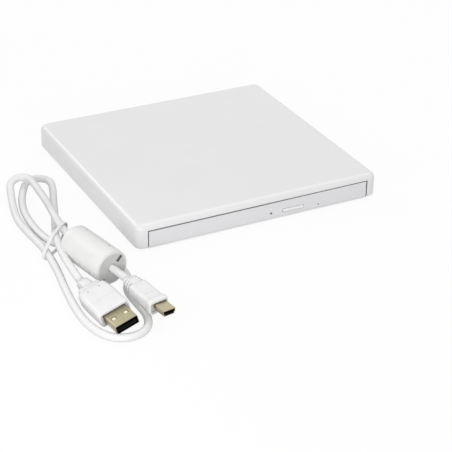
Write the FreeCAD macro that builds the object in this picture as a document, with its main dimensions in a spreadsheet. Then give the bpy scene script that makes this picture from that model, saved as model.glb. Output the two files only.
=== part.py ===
import FreeCAD, Part
import Sketcher
import math
import os

# An external tray-loading disc drive with its detachable lead.
# Origin: centre of the housing, on the surface that its feet stand on.
# The tray opens towards -Y. All lengths are in millimetres.

SIZES = [
    ("case_wide", 143.5, "housing, side to side"),
    ("case_deep", 137.5, "housing, front to back"),
    ("case_high", 14.0, "surface to top of housing"),
    ("case_corner", 4.5, "upright corner radius of the housing"),
    ("case_top_round", 3.2, "round along the top edge"),
    ("case_foot_round", 1.2, "round along the bottom edge"),
    ("cover_wall", 1.6, "side walls of the top cover"),
    ("cover_roof", 1.5, "roof of the top cover"),
    ("foot_proud", 0.6, "feet stand this far below the shell"),
    ("floor_thick", 1.2, "bottom cover"),
    ("floor_gap", 0.2, "bottom cover to the walls round it"),
    ("lip_high", 0.7, "front lip under the bezel"),
    ("rest_bar_high", 0.2, "bars that the drive rests on"),
    ("sheet", 0.5, "sheet steel of the drive's case"),
    ("fit_gap", 0.1, "between parts that are slid together"),
    ("drive_side_room", 6.75, "drive to the housing's side walls"),
    ("drive_back_room", 6.95, "drive to the housing's rear wall"),
    ("drive_high", 9.4, "underside to lid of the drive"),
    ("flange_drop", 2.5, "lid flanges reach down this far"),
    ("lid_ring_in", 14.1, "ring pressed into the lid, inside the disc recess"),
    ("lid_ring_wide", 5.0, "width of that ring"),
    ("lid_ring_high", 0.4, "height of that ring"),
    ("notch_wide", 32.8, "cut in the case's rear corner, across"),
    ("notch_deep", 5.6, "cut in the case's rear corner, from the back"),
    ("shield_gap", 0.8, "case floor to tray shield"),
    ("shield_thick", 0.3, "tray shield"),
    ("tray_high", 6.4, "tray, bottom to top"),
    ("tray_back_room", 6.15, "tray back to case back"),
    ("tray_side_gap", 0.6, "tray ledge to case wall"),
    ("ledge_thick", 2.5, "plate round the disc recess"),
    ("recess_deep", 1.7, "disc recess"),
    ("recess_rim", 1.7, "tray's ledge beside the disc recess"),
    ("tray_skin", 1.0, "floor of the disc recess"),
    ("tray_side", 4.1, "side walls under the ledge"),
    ("tray_end", 1.2, "front wall under the ledge"),
    ("tray_back", 1.5, "rear wall under the ledge"),
    ("recess_land", 3.35, "tray front to the disc recess"),
    ("guide_thick", 2.9, "rail guide, case wall to tray side"),
    ("guide_high", 4.7, "rail guide"),
    ("rail_wide", 2.6, "sliding rail"),
    ("rail_thick", 1.2, "sliding rail, height"),
    ("rail_lift", 1.0, "tray bottom to rail underside"),
    ("rail_play", 0.3, "rail to its grooves, and guide to tray"),
    ("rail_setback", 6.95, "tray front to rail front"),
    ("rail_end", 4.1, "rail end to tray back"),
    ("rail_pocket_ends", 6.0, "plain ends of the rail's pocketed face"),
    ("bezel_side", 1.65, "bezel beyond the drive at each side"),
    ("bezel_gap", 0.45, "bezel to the housing at sides and top"),
    ("bezel_floor_gap", 0.4, "bezel to the lip below it"),
    ("bezel_high", 8.7, "bezel"),
    ("bezel_thick", 3.2, "bezel, front to back"),
    ("bezel_wall", 1.0, "rim of the hollow bezel"),
    ("bezel_face", 1.2, "front wall of the bezel"),
    ("bezel_round", 0.35, "front edges of the bezel"),
    ("clip_reach", 0.6, "bezel ribs reach this far to the tray"),
    ("drive_setback", 0.15, "tray front to case front"),
    ("button_x", 19.25, "eject button, across"),
    ("button_z", 4.4, "eject button and its switch, up"),
    ("button_wide", 12.7, "eject button"),
    ("button_high", 1.8, "eject button, height of its face"),
    ("button_proud", 0.25, "button stands out of the bezel"),
    ("button_play", 0.3, "button to its opening"),
    ("button_travel", 0.6, "how far the button goes in"),
    ("button_flange", 0.9, "flange round the button, behind the bezel"),
    ("button_flange_thick", 0.6, "that flange"),
    ("stem_x", 24.5, "button stem and switch, across"),
    ("stem_half", 0.5, "half the stem's side"),
    ("light_x", 5.9, "status light, across"),
    ("light_z", 4.3, "status light, up"),
    ("light_radius", 0.6, "light pipe"),
    ("light_fit", 0.05, "light pipe to its hole"),
    ("release_x", 34.75, "emergency opening, across"),
    ("release_z", 3.5, "emergency opening, up"),
    ("release_radius", 0.5, "emergency opening"),
    ("front_board_left", 1.0, "front board, left end"),
    ("front_board_right", 30.0, "front board, right end"),
    ("front_board_thick", 0.8, "front board"),
    ("front_board_high", 3.2, "front board, height"),
    ("front_board_post", 0.85, "front wall to front board"),
    ("trav_left", 24.5, "traverse plate, left of the spindle"),
    ("trav_right", 29.5, "traverse plate, right of the spindle"),
    ("trav_setback", 3.05, "tray front to traverse plate"),
    ("trav_back", 19.0, "traverse plate, behind the spindle"),
    ("trav_thick", 0.8, "traverse plate"),
    ("trav_drop", 0.6, "recess floor down to the traverse plate"),
    ("trav_gap", 1.5, "tray opening round the traverse plate"),
    ("trav_front_gap", 0.5, "the same gap at the front"),
    ("lug_out", 3.5, "damper centre outside the plate"),
    ("lug_front", 21.9, "front dampers behind the plate's front"),
    ("lug_rear", 13.0, "rear dampers behind the spindle"),
    ("lug_drop", 0.5, "lug below the plate's underside"),
    ("damper_radius", 2.9, "rubber damper"),
    ("damper_waist", 1.9, "damper where the lug holds it"),
    ("damper_high", 2.4, "rubber damper"),
    ("damper_screw", 0.85, "screw through a damper, radius"),
    ("motor_radius", 12.5, "spindle motor's cup"),
    ("motor_wall", 0.6, "wall and roof of that cup"),
    ("motor_high", 3.0, "spindle motor's cup"),
    ("motor_window", 13.3, "round window for the motor"),
    ("shaft_radius", 0.75, "spindle shaft"),
    ("shaft_fit", 0.05, "running fit of shafts and pins"),
    ("base_thick", 0.6, "motor base plate"),
    ("base_radius", 13.0, "motor base plate"),
    ("base_post_ring", 15.6, "its posts, from the spindle"),
    ("base_post_radius", 1.3, "its posts"),
    ("sleeve_radius", 2.2, "bearing sleeve"),
    ("core_radius", 11.2, "motor core over its pole heads"),
    ("core_high", 1.7, "motor core"),
    ("poles", 9, "poles of the motor core"),
    ("table_radius", 15.2, "turntable"),
    ("table_thick", 0.7, "turntable"),
    ("table_neck", 0.3, "turntable above the motor's cup"),
    ("mat_inner", 12.6, "rubber mat, inner radius"),
    ("mat_outer", 14.9, "rubber mat, outer radius"),
    ("mat_thick", 0.2, "rubber mat"),
    ("hub_radius", 7.4, "centring hub, in a disc's 15 mm hole"),
    ("hub_high", 1.8, "centring hub"),
    ("pawls", 3, "sprung pawls that hold the disc"),
    ("pawl_wide", 3.0, "pawl"),
    ("pawl_proud", 0.5, "pawl stands out of the hub, and its travel"),
    ("pawl_long", 3.7, "pawl, along the radius"),
    ("rod_apart", 19.0, "guide rods, from the spindle's plane"),
    ("rod_radius", 1.0, "guide rods and lead screw"),
    ("rod_height", 5.4, "axis of the rods and the lead screw"),
    ("screw_x", 24.0, "lead screw, right of the spindle"),
    ("holder_ahead", 3.2, "rear rod holders ahead of the spindle"),
    ("holder_thick", 1.8, "rear rod holders, along the rods"),
    ("holder_half", 1.8, "half a rod holder's width"),
    ("holder_drop", 1.5, "rod holders below the rods' axis"),
    ("bracket_half", 1.7, "half the lead screw bracket's width"),
    ("can_ahead", 8.0, "stepping motor ahead of the spindle"),
    ("can_radius", 2.2, "stepping motor's can"),
    ("can_long", 12.0, "stepping motor's can"),
    ("can_half", 1.45, "half its height over the flats"),
    ("pickup_half", 15.2, "half the pickup's width"),
    ("pickup_front", 26.7, "pickup front, ahead of the spindle"),
    ("pickup_back", 10.0, "pickup back, ahead of the spindle"),
    ("pickup_low", 0.6, "tray bottom to pickup"),
    ("pickup_high", 3.4, "pickup body"),
    ("pickup_bite", 14.6, "round cut that clears the motor"),
    ("pickup_lid", 0.3, "pickup cover"),
    ("lens_ahead", 24.0, "lens, ahead of the spindle"),
    ("lens_radius", 1.9, "objective lens"),
    ("lens_travel", 0.4, "focus travel, up and down"),
    ("latch_aside", 4.5, "latch pivot left of the lock post"),
    ("latch_reach", 13.5, "latch pivot behind the lock post"),
    ("latch_thick", 1.2, "latch hook"),
    ("latch_lift", 0.6, "tray bottom to latch hook"),
    ("latch_swing", 16.0, "degrees that the hook swings to lock"),
    ("post_side", 4.5, "lock post to the tray's side wall"),
    ("post_setback", 7.45, "lock post behind the tray front"),
    ("post_radius", 1.0, "lock post"),
    ("post_lane", 3.0, "lane in the tray for the lock post"),
    ("yoke_side", 7.0, "traverse plate to the latch's coil yoke"),
    ("yoke_behind", 6.0, "latch pivot to that yoke"),
    ("yoke_deep", 8.5, "coil yoke"),
    ("yoke_wall", 1.2, "coil yoke"),
    ("coil_radius", 1.5, "latch coil"),
    ("board_thick", 0.8, "circuit boards"),
    ("tray_board_rim", 2.5, "tray board to the wall and to the post's lane"),
    ("tray_board_gap", 5.0, "traverse plate to tray board"),
    ("tray_board_back", 3.05, "tray board to tray back"),
    ("tray_board_lift", 1.0, "tray bottom to tray board"),
    ("chip_high", 0.75, "chips"),
    ("flex_in", 1.0, "flat cable inside the tray board's left end"),
    ("flex_wide", 16.0, "flat cable"),
    ("flex_thick", 0.12, "flat cable"),
    ("flex_fold", 17.5, "its fold, ahead of the spindle"),
    ("link_long", 13.2, "connector that joins the two rear boards"),
    ("link_high", 3.0, "that connector"),
    ("socket_side", 24.75, "socket to the side of the housing"),
    ("socket_wide", 7.7, "socket"),
    ("socket_high", 3.9, "socket"),
    ("socket_deep", 9.2, "socket"),
    ("socket_inset", 0.65, "socket mouth inside the housing's back"),
    ("socket_wall", 0.35, "socket's metal"),
    ("bridge_lift", 2.4, "bridge board above the bottom cover"),
    ("bridge_thick", 1.0, "bridge board"),
    ("boss_radius", 2.6, "screw bosses"),
    ("boss_in", 2.95, "boss centre inside the cover's inner wall"),
    ("boss_end", 18.75, "boss centres to the front and the back"),
    ("boss_lift", 1.2, "bottom cover's pads under the bosses"),
    ("screw_radius", 1.0, "cover screws"),
    ("screw_head", 2.0, "their heads"),
    ("screw_head_high", 0.9, "their heads"),
    ("screw_long", 7.0, "their shafts"),
    ("foot_long", 14.0, "rubber foot"),
    ("foot_wide", 7.0, "rubber foot"),
    ("foot_corner", 3.0, "rubber foot, corner radius"),
    ("foot_side", 16.75, "foot centres to the sides"),
    ("foot_end", 14.75, "foot centres to the front and the back"),
    ("foot_sunk", 0.6, "feet are set into the bottom cover"),
    ("cord_diameter", 4.0, "lead"),
    ("bead_long", 33.0, "ferrite bead"),
    ("bead_radius", 9.1, "ferrite bead"),
    ("bead_fit", 0.1, "bead to the lead"),
    ("tie_thick", 0.5, "wire tie"),
    ("tie_wide", 1.6, "wire tie"),
    ("tie_ease", 0.28, "wire tie to the lead"),
    ("pit_radius", 0.35, "small mould pits in the bead and the large grip"),
    ("relief_a", 9.0, "strain relief of the large plug"),
    ("grip_a_long", 26.5, "its moulded grip"),
    ("grip_a_wide", 16.5, "its moulded grip"),
    ("grip_a_high", 8.2, "its moulded grip"),
    ("shell_a_long", 12.0, "its metal shell"),
    ("shell_a_wide", 12.0, "its metal shell"),
    ("shell_a_high", 4.5, "its metal shell"),
    ("shell_wall", 0.3, "metal of the plug shells"),
    ("relief_b", 8.0, "strain relief of the small plug"),
    ("grip_b_long", 19.0, "its moulded grip"),
    ("grip_b_wide", 10.4, "its moulded grip"),
    ("grip_b_high", 7.4, "its moulded grip"),
    ("shell_b_long", 7.5, "its metal shell"),
    ("shell_b_wide", 6.8, "its metal shell"),
    ("shell_b_high", 3.0, "its metal shell"),
]

doc = FreeCAD.newDocument("DiscDrive")
sheet = doc.addObject("Spreadsheet::Sheet", "Sizes")
for row, (alias, number, meaning) in enumerate(SIZES, start=1):
    sheet.set(f"A{row}", alias)
    sheet.set(f"B{row}", str(number))
    sheet.set(f"C{row}", meaning)
    sheet.setAlias(f"B{row}", alias)
doc.recompute()


class Size:
    """A length together with the spreadsheet formula that gives it."""

    def __init__(self, value, formula):
        self.value = value
        self.formula = formula

    def __add__(self, other):
        other = as_size(other)
        return Size(self.value + other.value, f"({self.formula} + {other.formula})")

    def __radd__(self, other):
        return as_size(other) + self

    def __sub__(self, other):
        other = as_size(other)
        return Size(self.value - other.value, f"({self.formula} - {other.formula})")

    def __rsub__(self, other):
        return as_size(other) - self

    def __mul__(self, other):
        other = as_size(other)
        return Size(self.value * other.value, f"({self.formula} * {other.formula})")

    def __rmul__(self, other):
        return as_size(other) * self

    def __truediv__(self, other):
        other = as_size(other)
        return Size(self.value / other.value, f"({self.formula} / {other.formula})")

    def __neg__(self):
        return Size(-self.value, f"(0 - {self.formula})")


def as_size(number):
    """A Size from a plain number, or the Size itself."""
    if isinstance(number, Size):
        return number
    number = float(number)
    return Size(number, f"({number!r})")


class Sheet:
    """Gives each size of the spreadsheet under its alias."""

    def __getattr__(self, alias):
        return Size(float(sheet.get(alias)), f"Sizes.{alias}")


s = Sheet()
PIECES = []
CUTS = []
BOTH = (-1, 1)


def bind(thing, path, number):
    """Ties one property to its formula."""
    thing.setExpression(path, as_size(number).formula)


def ordered(first, second):
    """Two places, the lower one first."""
    first = as_size(first)
    second = as_size(second)
    if first.value <= second.value:
        return first, second
    return second, first


def place(thing, x=0, y=0, z=0):
    """Ties an object's position to its formulas."""
    bind(thing, "Placement.Base.x", x)
    bind(thing, "Placement.Base.y", y)
    bind(thing, "Placement.Base.z", z)


def piece(name, thing):
    """Makes an object one sub-part of the drive."""
    thing.Label = name
    PIECES.append(thing)
    return thing


# Part primitives and booleans

def block(x0, x1, y0, y1, z0, z1):
    """A box between two corners."""
    x0, x1 = ordered(x0, x1)
    y0, y1 = ordered(y0, y1)
    z0, z1 = ordered(z0, z1)
    box = doc.addObject("Part::Box", "Block")
    bind(box, "Length", x1 - x0)
    bind(box, "Width", y1 - y0)
    bind(box, "Height", z1 - z0)
    place(box, x0, y0, z0)
    return box


TURNS = {
    "X": FreeCAD.Rotation(FreeCAD.Vector(0, 1, 0), 90),
    "Y": FreeCAD.Rotation(FreeCAD.Vector(1, 0, 0), -90),
    "Z": FreeCAD.Rotation(),
}


def rod(radius, length, x=0, y=0, z=0, axis="Z"):
    """A cylinder that starts at a point and runs along an axis."""
    cylinder = doc.addObject("Part::Cylinder", "Rod")
    bind(cylinder, "Radius", radius)
    bind(cylinder, "Height", length)
    cylinder.Placement = FreeCAD.Placement(FreeCAD.Vector(), TURNS[axis])
    place(cylinder, x, y, z)
    return cylinder


def fuse(*things):
    """One solid from several that touch."""
    union = doc.addObject("Part::MultiFuse", "Fuse")
    union.Shapes = list(things)
    return union


def cut(base, *tools):
    """The base without its tools."""
    difference = doc.addObject("Part::Cut", "Cut")
    difference.Base = base
    difference.Tool = tools[0] if len(tools) == 1 else group(*tools)
    CUTS.append((difference, base))
    return difference


def common(first, second):
    """What two solids share."""
    overlap = doc.addObject("Part::MultiCommon", "Common")
    overlap.Shapes = [first, second]
    return overlap


def group(*things):
    """Several solids kept as one object."""
    compound = doc.addObject("Part::Compound", "Group")
    compound.Links = list(things)
    return compound


# Sketch outlines

def vector(x, y):
    """A point of a sketch."""
    return FreeCAD.Vector(x.value, y.value, 0)


def hold(sketch, element, point, x=None, y=None):
    """Fixes a sketch point at its place from the sketch's origin."""
    for kind, axis, number in (("DistanceX", -2, x), ("DistanceY", -1, y)):
        if number is None:
            continue
        if number.value == 0:
            sketch.addConstraint(Sketcher.Constraint("PointOnObject", element, point, axis))
            continue
        constraint = Sketcher.Constraint(kind, -1, 1, element, point, number.value)
        index = sketch.addConstraint(constraint)
        bind(sketch, f"Constraints[{index}]", number)


def polygon(*corners):
    """A closed outline through its corners."""
    def draw(sketch):
        points = [(as_size(x), as_size(y)) for x, y in corners]
        first = sketch.GeometryCount
        count = len(points)
        for index in range(count):
            start = vector(*points[index])
            end = vector(*points[(index + 1) % count])
            sketch.addGeometry(Part.LineSegment(start, end), False)
        for index in range(count):
            following = first + (index + 1) % count
            sketch.addConstraint(Sketcher.Constraint("Coincident", first + index, 2, following, 1))
        for index, (x, y) in enumerate(points):
            hold(sketch, first + index, 1, x, y)
    return draw


def circle(radius, x=0, y=0):
    """A full circle."""
    def draw(sketch):
        centre_x = as_size(x)
        centre_y = as_size(y)
        size = as_size(radius)
        shape = Part.Circle(vector(centre_x, centre_y), FreeCAD.Vector(0, 0, 1), size.value)
        element = sketch.addGeometry(shape, False)
        index = sketch.addConstraint(Sketcher.Constraint("Radius", element, size.value))
        bind(sketch, f"Constraints[{index}]", size)
        hold(sketch, element, 3, centre_x, centre_y)
    return draw


def rect(x0, x1, y0, y1, corner=None):
    """A rectangle, with rounded corners if a radius is given."""
    x0, x1 = ordered(x0, x1)
    y0, y1 = ordered(y0, y1)
    if corner is None:
        return polygon((x0, y0), (x1, y0), (x1, y1), (x0, y1))
    radius = as_size(corner)

    def draw(sketch):
        left = x0 + radius
        right = x1 - radius
        low = y0 + radius
        high = y1 - radius
        sides = (((left, y0), (right, y0)), ((x1, low), (x1, high)),
                 ((right, y1), (left, y1)), ((x0, high), (x0, low)))
        centres = ((right, low, -90), (right, high, 0), (left, high, 90), (left, low, 180))
        first = sketch.GeometryCount
        for side, centre in zip(sides, centres):
            sketch.addGeometry(Part.LineSegment(vector(*side[0]), vector(*side[1])), False)
            round_ = Part.Circle(vector(*centre[:2]), FreeCAD.Vector(0, 0, 1), radius.value)
            start = math.radians(centre[2])
            sketch.addGeometry(Part.ArcOfCircle(round_, start, start + math.pi / 2), False)
        for index in range(4):
            line = first + 2 * index
            arc = line + 1
            following = first + (2 * index + 2) % 8
            sketch.addConstraint(Sketcher.Constraint("Tangent", line, 2, arc, 1))
            sketch.addConstraint(Sketcher.Constraint("Tangent", arc, 2, following, 1))
            direction = "Horizontal" if index % 2 == 0 else "Vertical"
            sketch.addConstraint(Sketcher.Constraint(direction, line))
            if index:
                sketch.addConstraint(Sketcher.Constraint("Equal", first + 1, arc))
        index = sketch.addConstraint(Sketcher.Constraint("Radius", first + 1, radius.value))
        bind(sketch, f"Constraints[{index}]", radius)
        hold(sketch, first, 1, y=y0)
        hold(sketch, first + 2, 1, x=x1)
        hold(sketch, first + 4, 1, y=y1)
        hold(sketch, first + 6, 1, x=x0)
    return draw


# PartDesign bodies

def new_body(name):
    """An empty body for one sub-part."""
    return doc.addObject("PartDesign::Body", name)


def origin_feature(body, role):
    """One of a body's own origin planes or axes."""
    return next(item for item in body.Origin.OriginFeatures if item.Role == role)


def sketch_on(body, plane, offset, outlines):
    """A sketch on an origin plane, moved along the plane's normal."""
    sketch = body.newObject("Sketcher::SketchObject", f"{body.Name}_sketch")
    sketch.AttachmentSupport = [(origin_feature(body, f"{plane}_Plane"), "")]
    sketch.MapMode = "FlatFace"
    bind(sketch, "AttachmentOffset.Base.z", offset)
    for outline in outlines:
        outline(sketch)
    return sketch


def extrude(body, plane, low, high, *outlines, hollow=False):
    """Adds outlines between two places along X, Y or Z, or cuts them out."""
    low, high = ordered(low, high)
    offset = -high if plane == "XZ" else low
    sketch = sketch_on(body, plane, offset, outlines)
    base = body.Tip
    kind = "Pocket" if hollow else "Pad"
    feature = body.newObject(f"PartDesign::{kind}", f"{body.Name}_{kind.lower()}")
    feature.Profile = sketch
    bind(feature, "Length", high - low)
    feature.Reversed = hollow
    if hollow:
        CUTS.append((feature, feature.BaseFeature))
    return feature


def spin(body, plane, axis, *outlines):
    """Turns an outline once round one of the body's axes."""
    sketch = sketch_on(body, plane, as_size(0), outlines)
    feature = body.newObject("PartDesign::Revolution", f"{body.Name}_revolution")
    feature.Profile = sketch
    feature.ReferenceAxis = (origin_feature(body, f"{axis}_Axis"), [""])
    feature.Angle = 360
    return feature


def repeat(body, feature, count, axis="Z"):
    """Repeats one feature evenly round an axis."""
    pattern = body.newObject("PartDesign::PolarPattern", f"{body.Name}_pattern")
    pattern.Originals = [feature]
    pattern.Axis = (origin_feature(body, f"{axis}_Axis"), [""])
    pattern.Angle = 360
    bind(pattern, "Occurrences", count)
    body.Tip = pattern
    return pattern


def row_of(body, feature, axis, length, count):
    """Repeats one feature in a straight row."""
    pattern = body.newObject("PartDesign::LinearPattern", f"{body.Name}_pattern")
    pattern.Originals = [feature]
    pattern.Direction = (origin_feature(body, f"{axis}_Axis"), [""])
    bind(pattern, "Length", length)
    bind(pattern, "Occurrences", count)
    body.Tip = pattern
    return pattern


def soften(body, radius, wanted):
    """Rounds the edges whose bounding box is wanted."""
    doc.recompute()
    base = body.Tip
    names = []
    for number, edge in enumerate(base.Shape.Edges, start=1):
        if wanted(edge.BoundBox):
            names.append(f"Edge{number}")
    feature = body.newObject("PartDesign::Fillet", f"{body.Name}_fillet")
    feature.Base = (base, names)
    bind(feature, "Radius", radius)
    return feature


def near(first, second):
    """True where two coordinates are the same place."""
    return abs(first - as_size(second).value) < 1e-4


def at_height(z):
    """Picks the edges that lie level at one height."""
    return lambda box: near(box.ZMin, z) and near(box.ZMax, z)


def at_depth(y):
    """Picks the edges that lie in one upright plane across the drive."""
    return lambda box: near(box.YMin, y) and near(box.YMax, y)


def at_reach(x):
    """Picks the edges that lie in one plane square to X."""
    return lambda box: near(box.XMin, x) and near(box.XMax, x)


# Places worked out from the sizes

side_x = s.case_wide / 2
front_y = -s.case_deep / 2
back_y = s.case_deep / 2
inner_x = side_x - s.cover_wall
inner_front = front_y + s.cover_wall
inner_back = back_y - s.cover_wall
shell_z = s.foot_proud
floor_z = shell_z + s.floor_thick
lip_z = shell_z + s.lip_high
drive_z = floor_z + s.rest_bar_high
case_floor_z = drive_z + s.sheet
shield_z = case_floor_z + s.shield_gap
tray_z = shield_z + s.shield_thick
tray_top_z = tray_z + s.tray_high
recess_z = tray_top_z - s.recess_deep
skin_z = recess_z - s.tray_skin
ledge_z = tray_top_z - s.ledge_thick
lid_top_z = drive_z + s.drive_high
lid_z = lid_top_z - s.sheet
roof_z = s.case_high - s.cover_roof

drive_x = inner_x - s.drive_side_room
drive_back_y = inner_back - s.drive_back_room
bezel_x = drive_x + s.bezel_side
bezel_z = lip_z + s.bezel_floor_gap
bezel_top_z = bezel_z + s.bezel_high
bezel_back_y = front_y + s.bezel_thick
bezel_in_y = front_y + s.bezel_face
tray_front_y = bezel_back_y + s.clip_reach
tray_back_y = drive_back_y - s.tray_back_room
tray_wall_y = tray_front_y + s.tray_end
tray_rear_y = tray_back_y - s.tray_back
drive_front_y = tray_front_y + s.drive_setback
notch_x = drive_x - s.notch_wide
notch_y = drive_back_y - s.notch_deep

case_x = drive_x - s.sheet
guide_x = case_x - s.fit_gap
guide_in_x = guide_x - s.guide_thick
ledge_x = case_x - s.tray_side_gap
tray_x = guide_in_x - s.rail_play
cavity_x = tray_x - s.tray_side
rail_in_x = guide_in_x - s.rail_wide / 2
rail_out_x = guide_in_x + s.rail_wide / 2
rail_z = tray_z + s.rail_lift
rail_top_z = rail_z + s.rail_thick
recess_radius = ledge_x - s.recess_rim
disc_y = tray_front_y + s.recess_land + recess_radius

trav_left_x = -s.trav_left
trav_right_x = s.trav_right
trav_front_y = tray_front_y + s.trav_setback
trav_back_y = disc_y + s.trav_back
trav_top_z = recess_z - s.trav_drop
trav_z = trav_top_z - s.trav_thick
lug_top_z = trav_z - s.lug_drop
lug_z = lug_top_z - s.trav_thick
damper_z = skin_z - s.damper_high
LUGS = [(x, y) for x in (trav_left_x - s.lug_out, trav_right_x + s.lug_out)
        for y in (trav_front_y + s.lug_front, disc_y + s.lug_rear)]

post_x = cavity_x - s.post_side
post_y = tray_front_y + s.post_setback
latch_x = post_x - s.latch_aside
latch_y = post_y + s.latch_reach
latch_z = tray_z + s.latch_lift
lane_left_x = post_x - s.post_lane / 2
lane_right_x = post_x + s.post_lane / 2
lane_z = latch_z + s.latch_thick + 0.6

board_z = tray_z + s.tray_board_lift
tray_board_x0 = s.tray_board_rim - cavity_x
tray_board_x1 = lane_left_x - s.tray_board_rim
tray_board_y0 = trav_back_y + s.tray_board_gap
tray_board_y1 = tray_back_y - s.tray_board_back
flex_left_x = tray_board_x0 + s.flex_in
flex_right_x = flex_left_x + s.flex_wide
bridge_z = floor_z + s.bridge_lift
bridge_top_z = bridge_z + s.bridge_thick
socket_x = side_x - s.socket_side
socket_back_y = back_y - s.socket_inset
socket_front_y = socket_back_y - s.socket_deep
BOSSES = [(side * (inner_x - s.boss_in), end * (back_y - s.boss_end)) for side in BOTH for end in BOTH]
FEET = [(side * (side_x - s.foot_side), end * (back_y - s.foot_end)) for side in BOTH for end in BOTH]

# Top cover: one moulded shell, open below, with the tray's opening in front

cover = new_body("TopCover")
extrude(cover, "XY", shell_z, s.case_high, rect(-side_x, side_x, front_y, back_y, s.case_corner))
soften(cover, s.case_top_round, at_height(s.case_high))
soften(cover, s.case_foot_round, at_height(shell_z))
extrude(cover, "XY", shell_z, roof_z,
        rect(-inner_x, inner_x, inner_front, inner_back, s.case_corner - s.cover_wall), hollow=True)
mouth_x = bezel_x + s.bezel_gap
mouth_z = bezel_top_z + s.bezel_gap
extrude(cover, "XZ", front_y, inner_front, rect(-mouth_x, mouth_x, shell_z, mouth_z), hollow=True)
boss_floor_z = floor_z + s.boss_lift
extrude(cover, "XY", boss_floor_z, roof_z, *[circle(s.boss_radius, x, y) for x, y in BOSSES])
web_half = 0.7
rib_thick = 1.2
sunk = 0.1
for boss_x, boss_y in BOSSES:
    side = math.copysign(1, boss_x.value)
    wall_x = side * (inner_x + sunk)
    extrude(cover, "XY", boss_floor_z, roof_z,
            rect(boss_x + side * s.boss_radius / 2, wall_x, boss_y - web_half, boss_y + web_half))
extrude(cover, "XY", boss_floor_z, floor_z + s.screw_long + 0.5,
        *[circle(s.screw_radius + s.shaft_fit, x, y) for x, y in BOSSES], hollow=True)
lid_rib_x = drive_x - 7.4
lid_rib_end = 6.0
side_rib_y = back_y * 0.38
for side in BOTH:
    extrude(cover, "XY", lid_top_z + s.fit_gap / 2, roof_z,
            rect(side * lid_rib_x, side * (lid_rib_x + 1.0), drive_front_y + lid_rib_end,
                 drive_back_y - lid_rib_end))
    for end in BOTH:
        extrude(cover, "XY", floor_z + 2, roof_z,
                rect(side * (drive_x + s.sheet + 2 * s.fit_gap), side * (inner_x + sunk),
                     end * side_rib_y, end * side_rib_y + rib_thick))
socket_room = s.socket_wide / 2 + 0.3
socket_z1 = bridge_top_z + s.socket_high
extrude(cover, "XZ", inner_back, back_y,
        rect(socket_x - socket_room, socket_x + socket_room, bridge_top_z - 0.2, socket_z1 + 0.3, as_size(0.6)),
        hollow=True)
piece("top_cover", cover)

# Bottom cover: a plate inside the walls, with a lip below the bezel

tub = new_body("BottomCover")
edge_x = inner_x - s.floor_gap
edge_front = inner_front + s.floor_gap
edge_back = inner_back - s.floor_gap
edge_corner = s.case_corner - s.cover_wall - s.floor_gap
extrude(tub, "XY", shell_z, lip_z, rect(-edge_x, edge_x, edge_front, edge_back, edge_corner))
lip_x = mouth_x - s.floor_gap
extrude(tub, "XY", shell_z, lip_z, rect(-lip_x, lip_x, front_y + 0.15, edge_front + 1))
step_y = tray_front_y + 0.5
extrude(tub, "XY", lip_z, floor_z, rect(-edge_x, edge_x, step_y, edge_back, edge_corner))
extrude(tub, "XY", floor_z, boss_floor_z, *[circle(s.boss_radius, x, y) for x, y in BOSSES])
bar_half = 8.0
bar_deep = 5.0
for bar_x in (17.4 - drive_x, as_size(0), drive_x - 19.4):
    for bar_y in (drive_front_y + 22.8, drive_back_y - 32.2):
        extrude(tub, "XY", floor_z, drive_z,
                rect(bar_x - bar_half, bar_x + bar_half, bar_y, bar_y + bar_deep, as_size(1.5)))
stop_y = drive_back_y + s.sheet + 2 * s.fit_gap
for stop_x in (13.4 - drive_x, as_size(-8)):
    extrude(tub, "XY", floor_z, floor_z + 4, rect(stop_x, stop_x + 14, stop_y, stop_y + rib_thick))
bridge_room = 0.9
bridge_x0 = notch_x + bridge_room
bridge_x1 = case_x
bridge_y0 = notch_y + bridge_room
bridge_y1 = inner_back - 0.25
pillar_in = 2.2
pin_radius = 0.8
PILLARS = [(bridge_x0 + pillar_in, bridge_y1 - pillar_in), (bridge_x1 - pillar_in, bridge_y1 - pillar_in),
           (bridge_x1 - pillar_in, bridge_y0 + pillar_in)]
extrude(tub, "XY", floor_z, bridge_z, *[circle(2 * pin_radius, x, y) for x, y in PILLARS])
extrude(tub, "XY", bridge_z, bridge_top_z + 0.4, *[circle(pin_radius, x, y) for x, y in PILLARS])
head_z = shell_z + 0.4
extrude(tub, "XY", shell_z, head_z + s.screw_head_high,
        *[circle(s.screw_head + 0.2, x, y) for x, y in BOSSES], hollow=True)
extrude(tub, "XY", head_z + s.screw_head_high, boss_floor_z,
        *[circle(s.screw_radius + 0.2, x, y) for x, y in BOSSES], hollow=True)
for foot_x, foot_y in FEET:
    half_long = s.foot_long / 2 + s.fit_gap
    half_wide = s.foot_wide / 2 + s.fit_gap
    extrude(tub, "XY", shell_z, shell_z + s.foot_sunk,
            rect(foot_x - half_long, foot_x + half_long, foot_y - half_wide, foot_y + half_wide,
                 s.foot_corner + s.fit_gap), hollow=True)
piece("bottom_cover", tub)

# Rubber feet, set into the bottom cover

for number, (foot_x, foot_y) in enumerate(FEET, start=1):
    foot = new_body(f"Foot{number}")
    extrude(foot, "XY", as_size(0), shell_z + s.foot_sunk,
            rect(-s.foot_long / 2, s.foot_long / 2, -s.foot_wide / 2, s.foot_wide / 2, s.foot_corner))
    soften(foot, as_size(0.25), at_height(0))
    place(foot, foot_x, foot_y, 0)
    piece(f"foot_{number}", foot)

# Screws that hold the two covers together

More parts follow.
